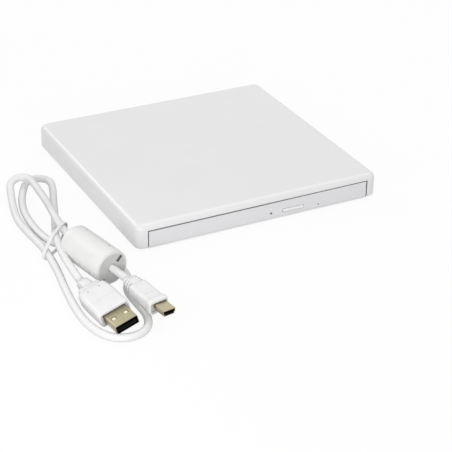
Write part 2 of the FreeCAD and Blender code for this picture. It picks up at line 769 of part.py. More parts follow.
screws = []
slot_half = 0.25
slot_reach = s.screw_head * 0.6
slot_z = head_z + s.screw_head_high * 0.45
for boss_x, boss_y in BOSSES:
    head = rod(s.screw_head, s.screw_head_high, boss_x, boss_y, head_z)
    shaft = rod(s.screw_radius, s.screw_long - s.screw_head_high, boss_x, boss_y, head_z + s.screw_head_high)
    slot = block(boss_x - slot_reach, boss_x + slot_reach, boss_y - slot_half, boss_y + slot_half, head_z, slot_z)
    cross = block(boss_x - slot_half, boss_x + slot_half, boss_y - slot_reach, boss_y + slot_reach, head_z, slot_z)
    screws.append(cut(fuse(head, shaft), fuse(slot, cross)))
piece("cover_screws", group(*screws))

# The drive's sheet steel case: a tub with the lock post, and a lid over it

case = new_body("LowerCase")
case_top_z = lid_z - s.fit_gap
extrude(case, "XY", drive_z, case_top_z, rect(-drive_x, drive_x, drive_front_y, drive_back_y, as_size(0.6)))
extrude(case, "XY", case_floor_z, case_top_z,
        rect(-case_x, case_x, drive_front_y - 1, drive_back_y - s.sheet), hollow=True)
extrude(case, "XY", drive_z, case_top_z, rect(notch_x, drive_x + 1, notch_y, drive_back_y + 1), hollow=True)
extrude(case, "XY", drive_z, latch_z + s.latch_thick + 0.2, circle(s.post_radius, post_x, post_y))
vent_wide = 3.0
vent_y0 = drive_back_y - 26.2
vent_y1 = drive_back_y - 14.2
for vent_x in (-30.0, -22.0, -14.0):
    extrude(case, "XY", drive_z, case_floor_z, rect(vent_x, vent_x + vent_wide, vent_y0, vent_y1, as_size(1.4)),
            hollow=True)
piece("lower_case", case)

lid = new_body("UpperCase")
lid_x = drive_x + s.fit_gap + s.sheet
lid_back_y = drive_back_y + s.fit_gap + s.sheet
flange_z = lid_top_z - s.sheet - s.flange_drop
extrude(lid, "XY", lid_z, lid_top_z, rect(-lid_x, lid_x, drive_front_y, lid_back_y, as_size(0.8)))
for side in BOTH:
    extrude(lid, "XY", flange_z, lid_z, rect(side * (lid_x - s.sheet), side * lid_x, drive_front_y, lid_back_y))
extrude(lid, "XY", flange_z, lid_z, rect(2 - lid_x, notch_x - 0.6, lid_back_y - s.sheet, lid_back_y))
lid_ring = recess_radius - s.lid_ring_in
extrude(lid, "XY", lid_top_z, lid_top_z + s.lid_ring_high,
        circle(lid_ring, 0, disc_y), circle(lid_ring + s.lid_ring_wide, 0, disc_y))
piece("upper_case", lid)

# Rail guides on the case walls, and the rails that run in them

guide_y0 = drive_front_y + 1.3
guide_y1 = tray_back_y - 4
groove_z0 = rail_z - s.rail_play
groove_z1 = rail_top_z + s.rail_play
rail_y0 = tray_front_y + s.rail_setback
rail_y1 = tray_back_y - s.rail_end
pocket_count = 3
pocket_half = s.rail_wide * 0.23
pocket_pitch = (rail_y1 - rail_y0 - s.rail_pocket_ends * 2) / pocket_count
for side, word in zip(BOTH, ("left", "right")):
    guide = new_body(f"Guide{word.title()}")
    extrude(guide, "XY", case_floor_z, case_floor_z + s.guide_high,
            rect(side * guide_in_x, side * guide_x, guide_y0, guide_y1))
    extrude(guide, "XY", groove_z0, groove_z1,
            rect(side * (guide_in_x - 1), side * (rail_out_x + s.rail_play), guide_y0 - 1, guide_y1 + 1),
            hollow=True)
    piece(f"guide_{word}", guide)

    rail = new_body(f"Rail{word.title()}")
    extrude(rail, "XY", rail_z, rail_top_z,
            rect(side * rail_in_x, side * rail_out_x, rail_y0, rail_y1, as_size(0.5)))
    for pocket in range(pocket_count):
        pocket_y = rail_y0 + s.rail_pocket_ends + pocket_pitch * pocket
        extrude(rail, "XY", rail_top_z - 0.4, rail_top_z,
                rect(side * (guide_in_x - pocket_half), side * (guide_in_x + pocket_half),
                     pocket_y + pocket_pitch * 0.12, pocket_y + pocket_pitch * 0.88, as_size(0.5)), hollow=True)
    piece(f"rail_{word}", rail)

# Disc tray: a ledge with a round recess, side grooves and a cavity below

tray = new_body("Tray")
extrude(tray, "XY", ledge_z, tray_top_z, rect(-ledge_x, ledge_x, tray_front_y, tray_back_y, as_size(1.0)))
extrude(tray, "XY", tray_z, ledge_z, rect(-tray_x, tray_x, tray_front_y, tray_back_y, as_size(0.8)))
extrude(tray, "XY", recess_z, tray_top_z, circle(recess_radius, 0, disc_y), hollow=True)
extrude(tray, "XY", tray_z, skin_z, rect(-cavity_x, cavity_x, tray_wall_y, tray_rear_y, as_size(1.0)), hollow=True)
groove_x = rail_in_x - s.rail_play
for side in BOTH:
    extrude(tray, "XY", groove_z0, groove_z1,
            rect(side * groove_x, side * (tray_x + 1), rail_y0 - 4, tray_back_y + 1), hollow=True)
open_x0 = trav_left_x - s.trav_gap
open_x1 = trav_right_x + s.trav_gap
open_y0 = trav_front_y - s.trav_front_gap
open_y1 = trav_back_y + s.trav_gap
extrude(tray, "XY", skin_z, recess_z, rect(open_x0, open_x1, open_y0, open_y1, as_size(2.0)), hollow=True)
rib_z = tray_z + s.fit_gap
rib_left_x = trav_left_x - s.lug_out - s.damper_radius - 1.5
rib_right_x = latch_x + 1.1
rib_front_y = latch_y + s.yoke_behind + s.yoke_deep + 1.5
rib_back_y = open_y1 + 1.1
rib_end_y = rib_back_y + rib_thick
extrude(tray, "XY", rib_z, skin_z, rect(rib_left_x - rib_thick, rib_left_x, tray_wall_y - sunk, rib_end_y))
extrude(tray, "XY", rib_z, skin_z, rect(rib_left_x - sunk, rib_right_x + sunk, rib_back_y, rib_end_y))
extrude(tray, "XY", rib_z, skin_z, rect(rib_right_x, rib_right_x + rib_thick, rib_front_y, rib_end_y))
window_x0 = s.front_board_left + 2.5
window_x1 = s.front_board_right - 1.0
front_board_z = tray_z + s.fit_gap
front_board_top_z = front_board_z + s.front_board_high
board_front_y = tray_wall_y + s.front_board_post
extrude(tray, "XZ", tray_front_y, tray_wall_y, rect(window_x0, window_x1, tray_z, front_board_top_z), hollow=True)
release_half = s.release_radius * 1.8
release_x0 = s.release_x - release_half
release_x1 = s.release_x + release_half
extrude(tray, "XZ", tray_front_y, tray_wall_y, rect(release_x0, release_x1, tray_z, tray_z + 1.6), hollow=True)
extrude(tray, "XY", front_board_z, skin_z,
        rect(s.front_board_left - 0.5, window_x0 - 1, tray_wall_y - sunk, board_front_y),
        rect(window_x1 + 0.5, window_x1 + 2.5, tray_wall_y - sunk, board_front_y))
extrude(tray, "XZ", tray_rear_y, tray_back_y, rect(lane_left_x, lane_right_x, tray_z, lane_z), hollow=True)
post_rows = (tray_board_y0 + 3, tray_board_y1 - 3)
board_posts = [(x, y) for x in (tray_board_x0 + 5, tray_board_x1 - 4) for y in post_rows]
extrude(tray, "XY", board_z + s.board_thick, skin_z, *[circle(1.6, x, y) for x, y in board_posts])
extrude(tray, "XY", latch_z - 0.3, skin_z, circle(s.rod_radius, latch_x, latch_y))
extrude(tray, "XY", latch_z + s.latch_thick + 0.15, skin_z, circle(s.rod_radius * 2.2, latch_x, latch_y))
extrude(tray, "XY", skin_z, recess_z - 0.15,
        *[circle(s.damper_screw + s.shaft_fit, x, y) for x, y in LUGS], hollow=True)
scoop_x = recess_radius - 14.6
scoop_y = disc_y + 18.6 - recess_radius
for side in BOTH:
    extrude(tray, "XY", recess_z, tray_top_z, circle(8.5, side * scoop_x, scoop_y), hollow=True)
piece("tray", tray)

# Shield plate under the tray, with lanes for the lock post and the flat cable

shield = new_body("TrayShield")
shield_x = tray_x - 1.5
extrude(shield, "XY", shield_z, tray_z, rect(-shield_x, shield_x, tray_front_y, tray_back_y, as_size(0.8)))
extrude(shield, "XY", shield_z, tray_z,
        rect(lane_left_x, lane_right_x, post_y - 2.2, tray_back_y + 1), hollow=True)
extrude(shield, "XY", shield_z, tray_z,
        rect(flex_left_x - 1, flex_right_x + 1, disc_y - s.flex_fold - 2, tray_back_y + 1), hollow=True)
extrude(shield, "XY", shield_z, tray_z,
        rect(release_x0, release_x1, tray_front_y - 1, tray_front_y + 5), hollow=True)
piece("tray_shield", shield)

# Bezel: a shallow moulding with ribs that reach back to the tray

bezel = new_body("Bezel")
extrude(bezel, "XZ", front_y, bezel_back_y, rect(-bezel_x, bezel_x, bezel_z, bezel_top_z, as_size(0.5)))
soften(bezel, s.bezel_round, at_depth(front_y))
hollow_x = bezel_x - s.bezel_wall
hollow_z0 = bezel_z + s.bezel_wall
hollow_z1 = bezel_top_z - s.bezel_wall
extrude(bezel, "XZ", bezel_in_y, bezel_back_y, rect(-hollow_x, hollow_x, hollow_z0, hollow_z1), hollow=True)
outer_rib_x = bezel_x - 9.05
rib_places = (-outer_rib_x, -outer_rib_x * 0.54, as_size(-4), outer_rib_x * 0.72, outer_rib_x)
extrude(bezel, "XZ", bezel_in_y, bezel_back_y,
        *[rect(x, x + rib_thick, hollow_z0 - sunk, hollow_z1 + sunk) for x in rib_places])
extrude(bezel, "XZ", bezel_back_y, tray_front_y,
        *[rect(x, x + rib_thick, tray_z + 0.4, tray_top_z - 1) for x in rib_places])
pipe_end_y = bezel_back_y - 0.4
extrude(bezel, "XZ", bezel_in_y, pipe_end_y, circle(s.light_radius * 2.2, s.light_x, s.light_z))
open_half = s.button_wide / 2 + s.button_play
open_up = s.button_high / 2 + s.button_play
nearly = 0.02
extrude(bezel, "XZ", front_y, bezel_in_y,
        rect(s.button_x - open_half, s.button_x + open_half, s.button_z - open_up, s.button_z + open_up,
             open_up - nearly),
        circle(s.release_radius, s.release_x, s.release_z), hollow=True)
extrude(bezel, "XZ", front_y, pipe_end_y, circle(s.light_radius + s.light_fit, s.light_x, s.light_z), hollow=True)
piece("bezel", bezel)

# Light pipe, front board, switch and light behind the bezel

board_back_y = board_front_y + s.front_board_thick
led_y = board_front_y - 0.8
piece("light_pipe", rod(s.light_radius, led_y - front_y - 0.2, s.light_x, front_y + 0.1, s.light_z, "Y"))
piece("front_board", block(s.front_board_left, s.front_board_right, board_front_y, board_back_y,
                           front_board_z, front_board_top_z))
led_body = block(s.light_x - 0.9, s.light_x + 0.9, led_y + 0.3, board_front_y, s.light_z - 0.5, s.light_z + 0.8)
led_dome = rod(s.light_radius * 0.92, as_size(0.4), s.light_x, led_y, s.light_z + 0.1, "Y")
piece("status_led", fuse(led_body, led_dome))
switch_y = board_front_y - 1.0
switch_body = block(s.stem_x - 3, s.stem_x + 3, switch_y + 0.2, board_front_y,
                    front_board_z + 0.1, front_board_top_z - 0.3)
switch_cap = block(s.stem_x - 1, s.stem_x + 1, switch_y, switch_y + 0.3, s.button_z - 0.7, s.button_z + 0.9)
piece("eject_switch", fuse(switch_body, switch_cap))

# Eject button: rounded face, a flange behind the bezel wall and a stem to the switch

button = new_body("EjectButton")
button_back_y = bezel_in_y + 0.05
face_half = s.button_wide / 2
face_up = s.button_high / 2
extrude(button, "XZ", front_y - s.button_proud, button_back_y + 0.1,
        rect(s.button_x - face_half, s.button_x + face_half, s.button_z - face_up, s.button_z + face_up,
             face_up - nearly))
soften(button, as_size(0.2), at_depth(front_y - s.button_proud))
flange_half = face_half + s.button_flange
flange_up = face_up + s.button_flange * 0.6
extrude(button, "XZ", button_back_y, button_back_y + s.button_flange_thick,
        rect(s.button_x - flange_half, s.button_x + flange_half, s.button_z - flange_up, s.button_z + flange_up,
             as_size(0.8)))
stem_y = switch_y - s.button_travel - 0.1
extrude(button, "XZ", button_back_y + s.button_flange_thick, stem_y,
        rect(s.stem_x - s.stem_half, s.stem_x + s.stem_half, s.button_z - s.stem_half, s.button_z + s.stem_half))
piece("eject_button", button)

# Traverse plate that hangs in the tray on four rubber dampers

trav = new_body("Traverse")
extrude(trav, "XY", trav_z, trav_top_z, rect(trav_left_x, trav_right_x, trav_front_y, trav_back_y, as_size(1.5)))
slot_x = s.pickup_half + 0.8
slot_front_y = trav_front_y + 0.8
extrude(trav, "XY", trav_z, trav_top_z, circle(s.motor_window, 0, disc_y), hollow=True)
extrude(trav, "XY", trav_z, trav_top_z, rect(-slot_x, slot_x, slot_front_y, disc_y - 9), hollow=True)
lug_half = s.damper_radius + 0.3
stand_z = trav_z + sunk
for lug_x, lug_y in LUGS:
    side = math.copysign(1, lug_x.value)
    edge = trav_left_x if side < 0 else trav_right_x
    extrude(trav, "XY", lug_z, lug_top_z,
            rect(edge - side * s.trav_thick, lug_x + side * lug_half, lug_y - lug_half, lug_y + lug_half))
    extrude(trav, "XY", lug_z, stand_z, rect(edge - side * s.trav_thick, edge, lug_y - lug_half, lug_y + lug_half))
extrude(trav, "XY", lug_z, lug_top_z, *[circle(s.damper_waist + s.shaft_fit, x, y) for x, y in LUGS], hollow=True)
holder_z = s.rod_height - s.holder_drop
front_holder_y = trav_front_y + 0.95
rear_holder_y = disc_y - s.holder_ahead
for side in BOTH:
    rod_x0 = side * s.rod_apart - s.holder_half
    rod_x1 = side * s.rod_apart + s.holder_half
    extrude(trav, "XY", holder_z, stand_z, rect(rod_x0, rod_x1, trav_front_y, front_holder_y),
            rect(rod_x0, rod_x1, rear_holder_y, rear_holder_y + s.holder_thick))
extrude(trav, "XZ", trav_front_y - 1, rear_holder_y + 2,
        *[circle(s.rod_radius + 0.02, side * s.rod_apart, s.rod_height) for side in BOTH], hollow=True)
plate_holes = ((trav_left_x + 4.5, disc_y + 7), (trav_right_x - 4.5, disc_y + 9), (trav_left_x + 4, disc_y - 47))
for hole_x, hole_y in plate_holes:
    extrude(trav, "XY", trav_z, trav_top_z, circle(1.4, hole_x, hole_y), hollow=True)
piece("traverse", trav)

# Rubber dampers with a waist in the lugs, and their screws

dampers = []
damper_screws = []
for lug_x, lug_y in LUGS:
    damper_body = rod(s.damper_radius, s.damper_high, lug_x, lug_y, damper_z)
    ring = cut(rod(s.damper_radius + 1, s.trav_thick, lug_x, lug_y, lug_z),
               rod(s.damper_waist, s.trav_thick, lug_x, lug_y, lug_z))
    bore = rod(s.damper_screw + s.shaft_fit, s.damper_high, lug_x, lug_y, damper_z)
    dampers.append(cut(damper_body, ring, bore))
    screw_head = rod(s.damper_screw * 2.1, as_size(0.6), lug_x, lug_y, damper_z - 0.6)
    screw_shaft = rod(s.damper_screw, s.damper_high + 0.6, lug_x, lug_y, damper_z)
    damper_screws.append(fuse(screw_head, screw_shaft))
piece("damper_bushes", group(*dampers))
piece("traverse_screws", group(*damper_screws))

# Guide rods, lead screw bracket and the stepping motor of the pickup

rod_y0 = trav_front_y + 0.15
rod_long = rear_holder_y + s.holder_thick - 0.3 - rod_y0
piece("guide_rods", group(*[rod(s.rod_radius, rod_long, side * s.rod_apart, rod_y0, s.rod_height, "Y")
                            for side in BOTH]))
motor_y = disc_y - s.can_ahead
bracket_x0 = s.screw_x - s.bracket_half
bracket_x1 = s.screw_x + s.bracket_half
bracket_y0 = trav_front_y + s.fit_gap
rail_strip = block(bracket_x0, bracket_x1, bracket_y0, motor_y, trav_z - 0.4, trav_z)
front_ear = block(bracket_x0, bracket_x1, bracket_y0, front_holder_y, holder_z, trav_z)
rear_ear = block(bracket_x0, bracket_x1, motor_y - 0.6, motor_y, holder_z, trav_z)
screw_hole = rod(s.rod_radius + s.shaft_fit, motor_y + 1 - trav_front_y, s.screw_x, trav_front_y - 0.5,
                 s.rod_height, "Y")
piece("screw_bracket", cut(fuse(rail_strip, front_ear, rear_ear), screw_hole))
can = rod(s.can_radius, s.can_long, s.screw_x, motor_y, s.rod_height, "Y")
can_space = block(s.screw_x - s.can_radius, s.screw_x + s.can_radius, motor_y, motor_y + s.can_long,
                  s.rod_height - s.can_half, s.rod_height + s.can_half)
piece("sled_motor", common(can, can_space))
screw_y0 = trav_front_y + 0.3
piece("lead_screw", rod(s.rod_radius, motor_y - 0.05 - screw_y0, s.screw_x, screw_y0, s.rod_height, "Y"))

# Spindle motor: base with sleeve and posts, wound core, cup and shaft

base_z = tray_z + s.fit_gap
base_top_z = base_z + s.base_thick
base = new_body("StatorBase")
extrude(base, "XY", base_z, base_top_z, circle(s.base_radius))
for post_turn in (15, 90, 165):
    post_dx = s.base_post_ring * math.cos(math.radians(post_turn))
    post_dy = s.base_post_ring * math.sin(math.radians(post_turn))
    extrude(base, "XY", base_z, base_top_z, circle(s.base_post_radius + 0.6, post_dx, post_dy))
    extrude(base, "XY", base_top_z, trav_z, circle(s.base_post_radius, post_dx, post_dy))
    extrude(base, "XY", base_z, base_top_z, circle(s.base_post_radius + 0.6, post_dx * 0.8, post_dy * 0.8))
cup_z = trav_top_z - s.motor_high
sleeve_top_z = trav_top_z - s.motor_wall - 0.3
extrude(base, "XY", base_top_z, sleeve_top_z, circle(s.sleeve_radius))
extrude(base, "XY", base_z + 0.2, sleeve_top_z, circle(s.shaft_radius + s.shaft_fit), hollow=True)
place(base, 0, disc_y, 0)
piece("stator_base", base)

core_z = base_top_z + 0.6
core = new_body("StatorCore")
extrude(core, "XY", core_z, core_z + s.core_high, circle(s.sleeve_radius * 2))
arm_half = s.core_radius * 0.08
head_half = s.core_radius * 0.23
arm_in = s.sleeve_radius * 1.6
arm_out = s.core_radius - 1.4
arm = extrude(core, "XY", core_z, core_z + s.core_high,
              polygon((arm_in, -arm_half), (arm_out, -arm_half), (arm_out + 0.2, 0.2 - head_half),
                      (s.core_radius - 0.35, -head_half), (s.core_radius, 0), (s.core_radius - 0.35, head_half),
                      (arm_out + 0.2, head_half - 0.2), (arm_out, arm_half), (arm_in, arm_half)))
repeat(core, arm, s.poles)
extrude(core, "XY", core_z, core_z + s.core_high, circle(s.sleeve_radius + s.shaft_fit), hollow=True)
place(core, 0, disc_y, 0)
piece("stator_core", core)

cup = new_body("RotorCup")
cup_in = s.motor_radius - s.motor_wall
cup_roof_z = trav_top_z - s.motor_wall
spin(cup, "XZ", "Z", polygon((0, base_z + 0.3), (s.shaft_radius, base_z + 0.3), (s.shaft_radius, cup_roof_z),
                             (cup_in, cup_roof_z), (cup_in, cup_z), (s.motor_radius, cup_z),
                             (s.motor_radius, trav_top_z - 0.2), (s.motor_radius - 0.2, trav_top_z),
                             (0, trav_top_z)))
place(cup, 0, disc_y, 0)
piece("rotor_cup", cup)

table_z = trav_top_z + s.table_neck
table_top_z = table_z + s.table_thick
table = new_body("Turntable")
spin(table, "XZ", "Z", polygon((0, trav_top_z), (6, trav_top_z), (6, table_z), (s.table_radius - 0.2, table_z),
                               (s.table_radius, table_z + 0.2), (s.table_radius, table_top_z),
                               (0, table_top_z)))
place(table, 0, disc_y, 0)
piece("turntable", table)

mat = new_body("DiscMat")
extrude(mat, "XY", table_top_z, table_top_z + s.mat_thick, circle(s.mat_outer), circle(s.mat_inner))
place(mat, 0, disc_y, 0)
piece("disc_mat", mat)

# Centring hub with a chamfered crown, and its sprung pawls

hub_top_z = table_top_z + s.hub_high
pawl_out = s.hub_radius + s.pawl_proud
pawl_in = pawl_out - s.pawl_long
pawl_z = table_top_z + 0.5
hub = new_body("CentringHub")
spin(hub, "XZ", "Z", polygon((0, table_top_z), (s.hub_radius, table_top_z), (s.hub_radius, hub_top_z - 0.7),
                             (s.hub_radius - 1.1, hub_top_z), (1.6, hub_top_z), (1.6, hub_top_z - 0.5),
                             (0, hub_top_z - 0.5)))
pawl_half = s.pawl_wide / 2
gate = extrude(hub, "XY", pawl_z - 0.1, hub_top_z,
               rect(pawl_in - s.pawl_proud - 0.2, pawl_out + 1, -pawl_half - 0.1, pawl_half + 0.1), hollow=True)
repeat(hub, gate, s.pawls)
place(hub, 0, disc_y, 0)
piece("centring_hub", hub)

for number in range(int(s.pawls.value)):
    pawl = new_body(f"Pawl{number + 1}")
    extrude(pawl, "XZ", -pawl_half, pawl_half,
            polygon((pawl_in, pawl_z), (pawl_out - 0.3, pawl_z), (pawl_out, pawl_z + 0.3),
                    (pawl_out, pawl_z + 0.5), (pawl_out - 0.9, hub_top_z - 0.1), (pawl_in, hub_top_z - 0.1)))
    pawl.Placement = FreeCAD.Placement(FreeCAD.Vector(), FreeCAD.Rotation(120 * number, 0, 0))
    place(pawl, 0, disc_y, 0)
    piece(f"pawl_{number + 1}", pawl)

# Pickup: a cradle on the two rods, cut round to clear the motor

pickup_z = tray_z + s.pickup_low
pickup_top_z = pickup_z + s.pickup_high
pickup_y0 = disc_y - s.pickup_front
pickup_y1 = disc_y - s.pickup_back
lens_y = disc_y - s.lens_ahead
arm_top_z = trav_z - 0.3
well_y0 = lens_y - 2.1
well_y1 = lens_y + 3.4
rod_gap = s.rod_radius + s.shaft_fit
nose = 3.0
nose_y = pickup_y0 + nose
holder_half = 4.4
pickup = new_body("Pickup")
extrude(pickup, "XY", pickup_z, pickup_top_z,
        polygon((-s.pickup_half, pickup_y1), (-s.pickup_half, nose_y), (nose - s.pickup_half, pickup_y0),
                (s.pickup_half - nose, pickup_y0), (s.pickup_half, nose_y), (s.pickup_half, pickup_y1)))
extrude(pickup, "XY", pickup_z, arm_top_z,
        rect(s.pickup_half - 0.1, s.rod_apart + 2.2, pickup_y0 + 3, pickup_y1),
        rect(-s.rod_apart - 2.2, 0.1 - s.pickup_half, pickup_y0 + 6, pickup_y1 - 4))
extrude(pickup, "XY", pickup_z + 0.4, arm_top_z - 0.4,
        rect(s.rod_apart + 2.1, s.screw_x - s.rod_radius - 0.25, pickup_y0 + 5, pickup_y1 - 6))
extrude(pickup, "XY", pickup_z, pickup_top_z, circle(s.pickup_bite, 0, disc_y), hollow=True)
extrude(pickup, "XY", pickup_z + 1.0, pickup_top_z, rect(-6.4, 6.4, well_y0, well_y1, as_size(0.5)), hollow=True)
extrude(pickup, "XY", pickup_z + 0.9, pickup_top_z - 0.4,
        *[rect(side * 4.9, side * 6.0, well_y0 + 0.4, well_y1 - 0.4) for side in BOTH])
extrude(pickup, "XZ", pickup_y0, pickup_y1, circle(rod_gap, s.rod_apart, s.rod_height), hollow=True)
extrude(pickup, "XZ", pickup_y0, pickup_y1,
        rect(-s.rod_apart - 3, rod_gap - s.rod_apart, s.rod_height - rod_gap, s.rod_height + rod_gap), hollow=True)
piece("pickup", pickup)

pickup_lid = new_body("PickupCover")
pickup_lid_z = pickup_top_z + s.pickup_lid
lid_in = 0.2
lid_half = s.pickup_half - lid_in
lid_y1 = pickup_y1 - lid_in
extrude(pickup_lid, "XY", pickup_top_z, pickup_lid_z,
        polygon((-lid_half, lid_y1), (-lid_half, nose_y), (nose - lid_half, pickup_y0 + lid_in),
                (lid_half - nose, pickup_y0 + lid_in), (lid_half, nose_y), (lid_half, lid_y1)))
extrude(pickup_lid, "XY", pickup_top_z, pickup_lid_z, circle(s.table_radius + 1, 0, disc_y), hollow=True)
extrude(pickup_lid, "XY", pickup_top_z, pickup_lid_z,
        rect(as_size(-holder_half - 0.2), holder_half + 0.2, well_y0 + s.shaft_fit, well_y1, as_size(0.5)),
        hollow=True)
piece("pickup_cover", pickup_lid)

holder = new_body("LensHolder")
holder_base_z = pickup_z + 1.0 + s.lens_travel + 0.1
holder_top_z = pickup_top_z - s.lens_travel - 0.2
extrude(holder, "XY", holder_base_z, holder_top_z,
        rect(as_size(-holder_half), holder_half, well_y0 + 0.2, well_y1 - 0.3, as_size(0.8)))
extrude(holder, "XY", holder_base_z, holder_top_z, circle(s.lens_radius - 0.5, 0, lens_y), hollow=True)
piece("lens_holder", holder)

lens = new_body("Lens")
spin(lens, "XZ", "Z", polygon((0, holder_top_z), (s.lens_radius, holder_top_z),
                              (s.lens_radius, holder_top_z + 0.2), (s.lens_radius - 0.4, holder_top_z + 0.25),
                              (s.lens_radius / 2, holder_top_z + 0.5), (0, holder_top_z + 0.55)))
place(lens, 0, lens_y, 0)
piece("lens", lens)

# Latch hook, drawn locked about its pivot and turned open, and its solenoid

# Outline in hundredths: the arm's x of the way to the emergency opening, the rest of the latch's reach.

HOOK_ARM = [(107.2, -100.74), (104.7, -113.33), (90.2, -113.33)]
HOOK = [(-11.85, -23.7), (-6.67, -84.44), (38.52, -84.44), (38.52, -78.52), (14.07, -44.44), (16.3, -1.48),
        (-4.44, 35.56), (-26.67, 35.56), (-20.74, 1.48)]
hook = new_body("LatchHook")
hook_part = s.latch_reach / 100
arm_part = (s.release_x - latch_x) / 100
hook_points = [(x * hook_part, y * hook_part) for x, y in HOOK]
arm_points = [(x * arm_part, y * hook_part) for x, y in HOOK_ARM]
extrude(hook, "XY", latch_z, latch_z + s.latch_thick, polygon(*arm_points, *hook_points))
extrude(hook, "XY", latch_z, latch_z + s.latch_thick, circle(s.rod_radius + s.shaft_fit), hollow=True)
hook.Placement = FreeCAD.Placement(FreeCAD.Vector(), FreeCAD.Rotation(-s.latch_swing.value, 0, 0))
place(hook, latch_x, latch_y, 0)
piece("latch_hook", hook)

yoke_x0 = trav_right_x + s.yoke_side
yoke_x1 = latch_x - 0.5
yoke_y0 = latch_y + s.yoke_behind
yoke_y1 = yoke_y0 + s.yoke_deep
yoke = block(yoke_x0, yoke_x1, yoke_y0, yoke_y1, tray_z + 0.3, skin_z)
coil_gap = block(yoke_x0 - 1, yoke_x1 + 0.5, yoke_y0 + s.yoke_wall, yoke_y1 - s.yoke_wall,
                 tray_z + 0.2, skin_z - 0.4)
coil = rod(s.coil_radius, s.yoke_deep - s.yoke_wall * 2, (yoke_x0 + yoke_x1) / 2, yoke_y0 + s.yoke_wall,
           tray_z + 0.4 + s.coil_radius, "Y")
piece("latch_solenoid", fuse(cut(yoke, coil_gap), coil))

# Circuit board in the tray, its chips, and the flat cable folded under it

piece("tray_board", block(tray_board_x0, tray_board_x1, tray_board_y0, tray_board_y1,
                          board_z, board_z + s.board_thick))
chip_row_y = (tray_board_y0 + tray_board_y1) / 2
chip_places = ((-20.0, 6.0, 6.0), (0.5, 4.5, 4.5), (17.5, 3.5, 3.5), (31.0, 3.0, 2.0))
chip_z = board_z - s.chip_high
chips = [block(x - half_x, x + half_x, chip_row_y - half_y, chip_row_y + half_y, chip_z, board_z)
         for x, half_x, half_y in chip_places]
flex_top_z = shield_z + 0.15 + s.flex_thick
clamp_x0 = flex_left_x - 0.8
clamp_x1 = flex_right_x + 0.8
connector = block(clamp_x0, clamp_x1, tray_board_y1 - 6, tray_board_y1 - 1, flex_top_z, board_z)
piece("board_chips", group(connector, *chips))

flex = new_body("FlexCable")
flex_y0 = disc_y - s.flex_fold
flex_low_z = case_floor_z + s.fit_gap
flex_end_y = drive_back_y - 3.2
upper_end_y = tray_board_y1 - 2
extrude(flex, "YZ", flex_left_x, flex_right_x,
        rect(flex_y0, flex_end_y + 2, flex_low_z, flex_top_z, as_size(0.44)))
extrude(flex, "YZ", flex_left_x, flex_right_x,
        rect(flex_y0 + s.flex_thick, flex_end_y + 3, flex_low_z + s.flex_thick, flex_top_z - s.flex_thick,
             0.44 - s.flex_thick), hollow=True)
extrude(flex, "YZ", flex_left_x, flex_right_x,
        rect(flex_end_y, flex_end_y + 4, flex_low_z - 1, flex_top_z + 1), hollow=True)
extrude(flex, "YZ", flex_left_x, flex_right_x,
        rect(upper_end_y, flex_end_y + 4, flex_low_z + s.flex_thick, flex_top_z + 1), hollow=True)
piece("flex_cable", flex)

# Boards behind the tray: the drive's own, and the bridge board with the socket

rear_z = case_floor_z + 0.9
rear_y0 = tray_back_y + 0.95
rear_y1 = drive_back_y - s.sheet - 0.3
rear_top_z = rear_z + s.board_thick
rear_x1 = notch_x - 4.6
piece("rear_board", block(tray_board_x0 - 2, rear_x1, rear_y0, rear_y1, rear_z, rear_top_z))
rear_plug = block(clamp_x0, clamp_x1, rear_y0 + 0.1, rear_y1 - 0.4, flex_low_z + s.flex_thick, rear_z)
link_x1 = rear_x1 - 0.2
link_body = block(link_x1 - s.link_long, link_x1, rear_y0 + 0.4, rear_y1 - 0.4,
                  rear_top_z, rear_top_z + s.link_high)
link_nose = block(link_x1 - sunk, bridge_x0 + 4, rear_y0 + 0.8, rear_y1 - 0.8, bridge_top_z,
                  rear_top_z + s.link_high - 0.4)
piece("drive_connector", group(rear_plug, fuse(link_body, link_nose)))

bridge = new_body("BridgeBoard")
extrude(bridge, "XY", bridge_z, bridge_top_z, rect(bridge_x0, bridge_x1, bridge_y0, bridge_y1, as_size(0.8)))
extrude(bridge, "XY", bridge_z, bridge_top_z, *[circle(pin_radius + s.shaft_fit, x, y) for x, y in PILLARS],
        hollow=True)
extrude(bridge, "XY", bridge_top_z, bridge_top_z + 0.9,
        rect(socket_x + 5, socket_x + 10, bridge_y0 + 1, bridge_y0 + 6))
piece("bridge_board", bridge)

half_wide = s.socket_wide / 2
socket = new_body("UsbSocket")


def socket_outline(inset):
    """Square shoulders above, drawn in below, as the plug is."""
    low = bridge_top_z + inset
    high = bridge_top_z + s.socket_high - inset
    wide = half_wide - inset
    drawn = wide - 0.7
    return polygon((socket_x - wide, high), (socket_x - wide, low + 1.5), (socket_x - drawn, low + 0.8),
                   (socket_x - drawn, low), (socket_x + drawn, low), (socket_x + drawn, low + 0.8),
                   (socket_x + wide, low + 1.5), (socket_x + wide, high))


extrude(socket, "XZ", socket_front_y, socket_back_y, socket_outline(as_size(0)))
socket_floor_y = socket_front_y + 1.0
extrude(socket, "XZ", socket_floor_y, socket_back_y, socket_outline(s.socket_wall), hollow=True)
piece("usb_socket", socket)
tongue_z = bridge_top_z + s.socket_high / 2
tongue_half = s.socket_wide * 0.286
piece("usb_socket_tongue", block(socket_x - tongue_half, socket_x + tongue_half, socket_floor_y,
                                 socket_back_y - 1.2, tongue_z - 0.1, tongue_z + 0.8))

# The lead lies in a tied bundle beside the drive. Its points are chosen by hand.

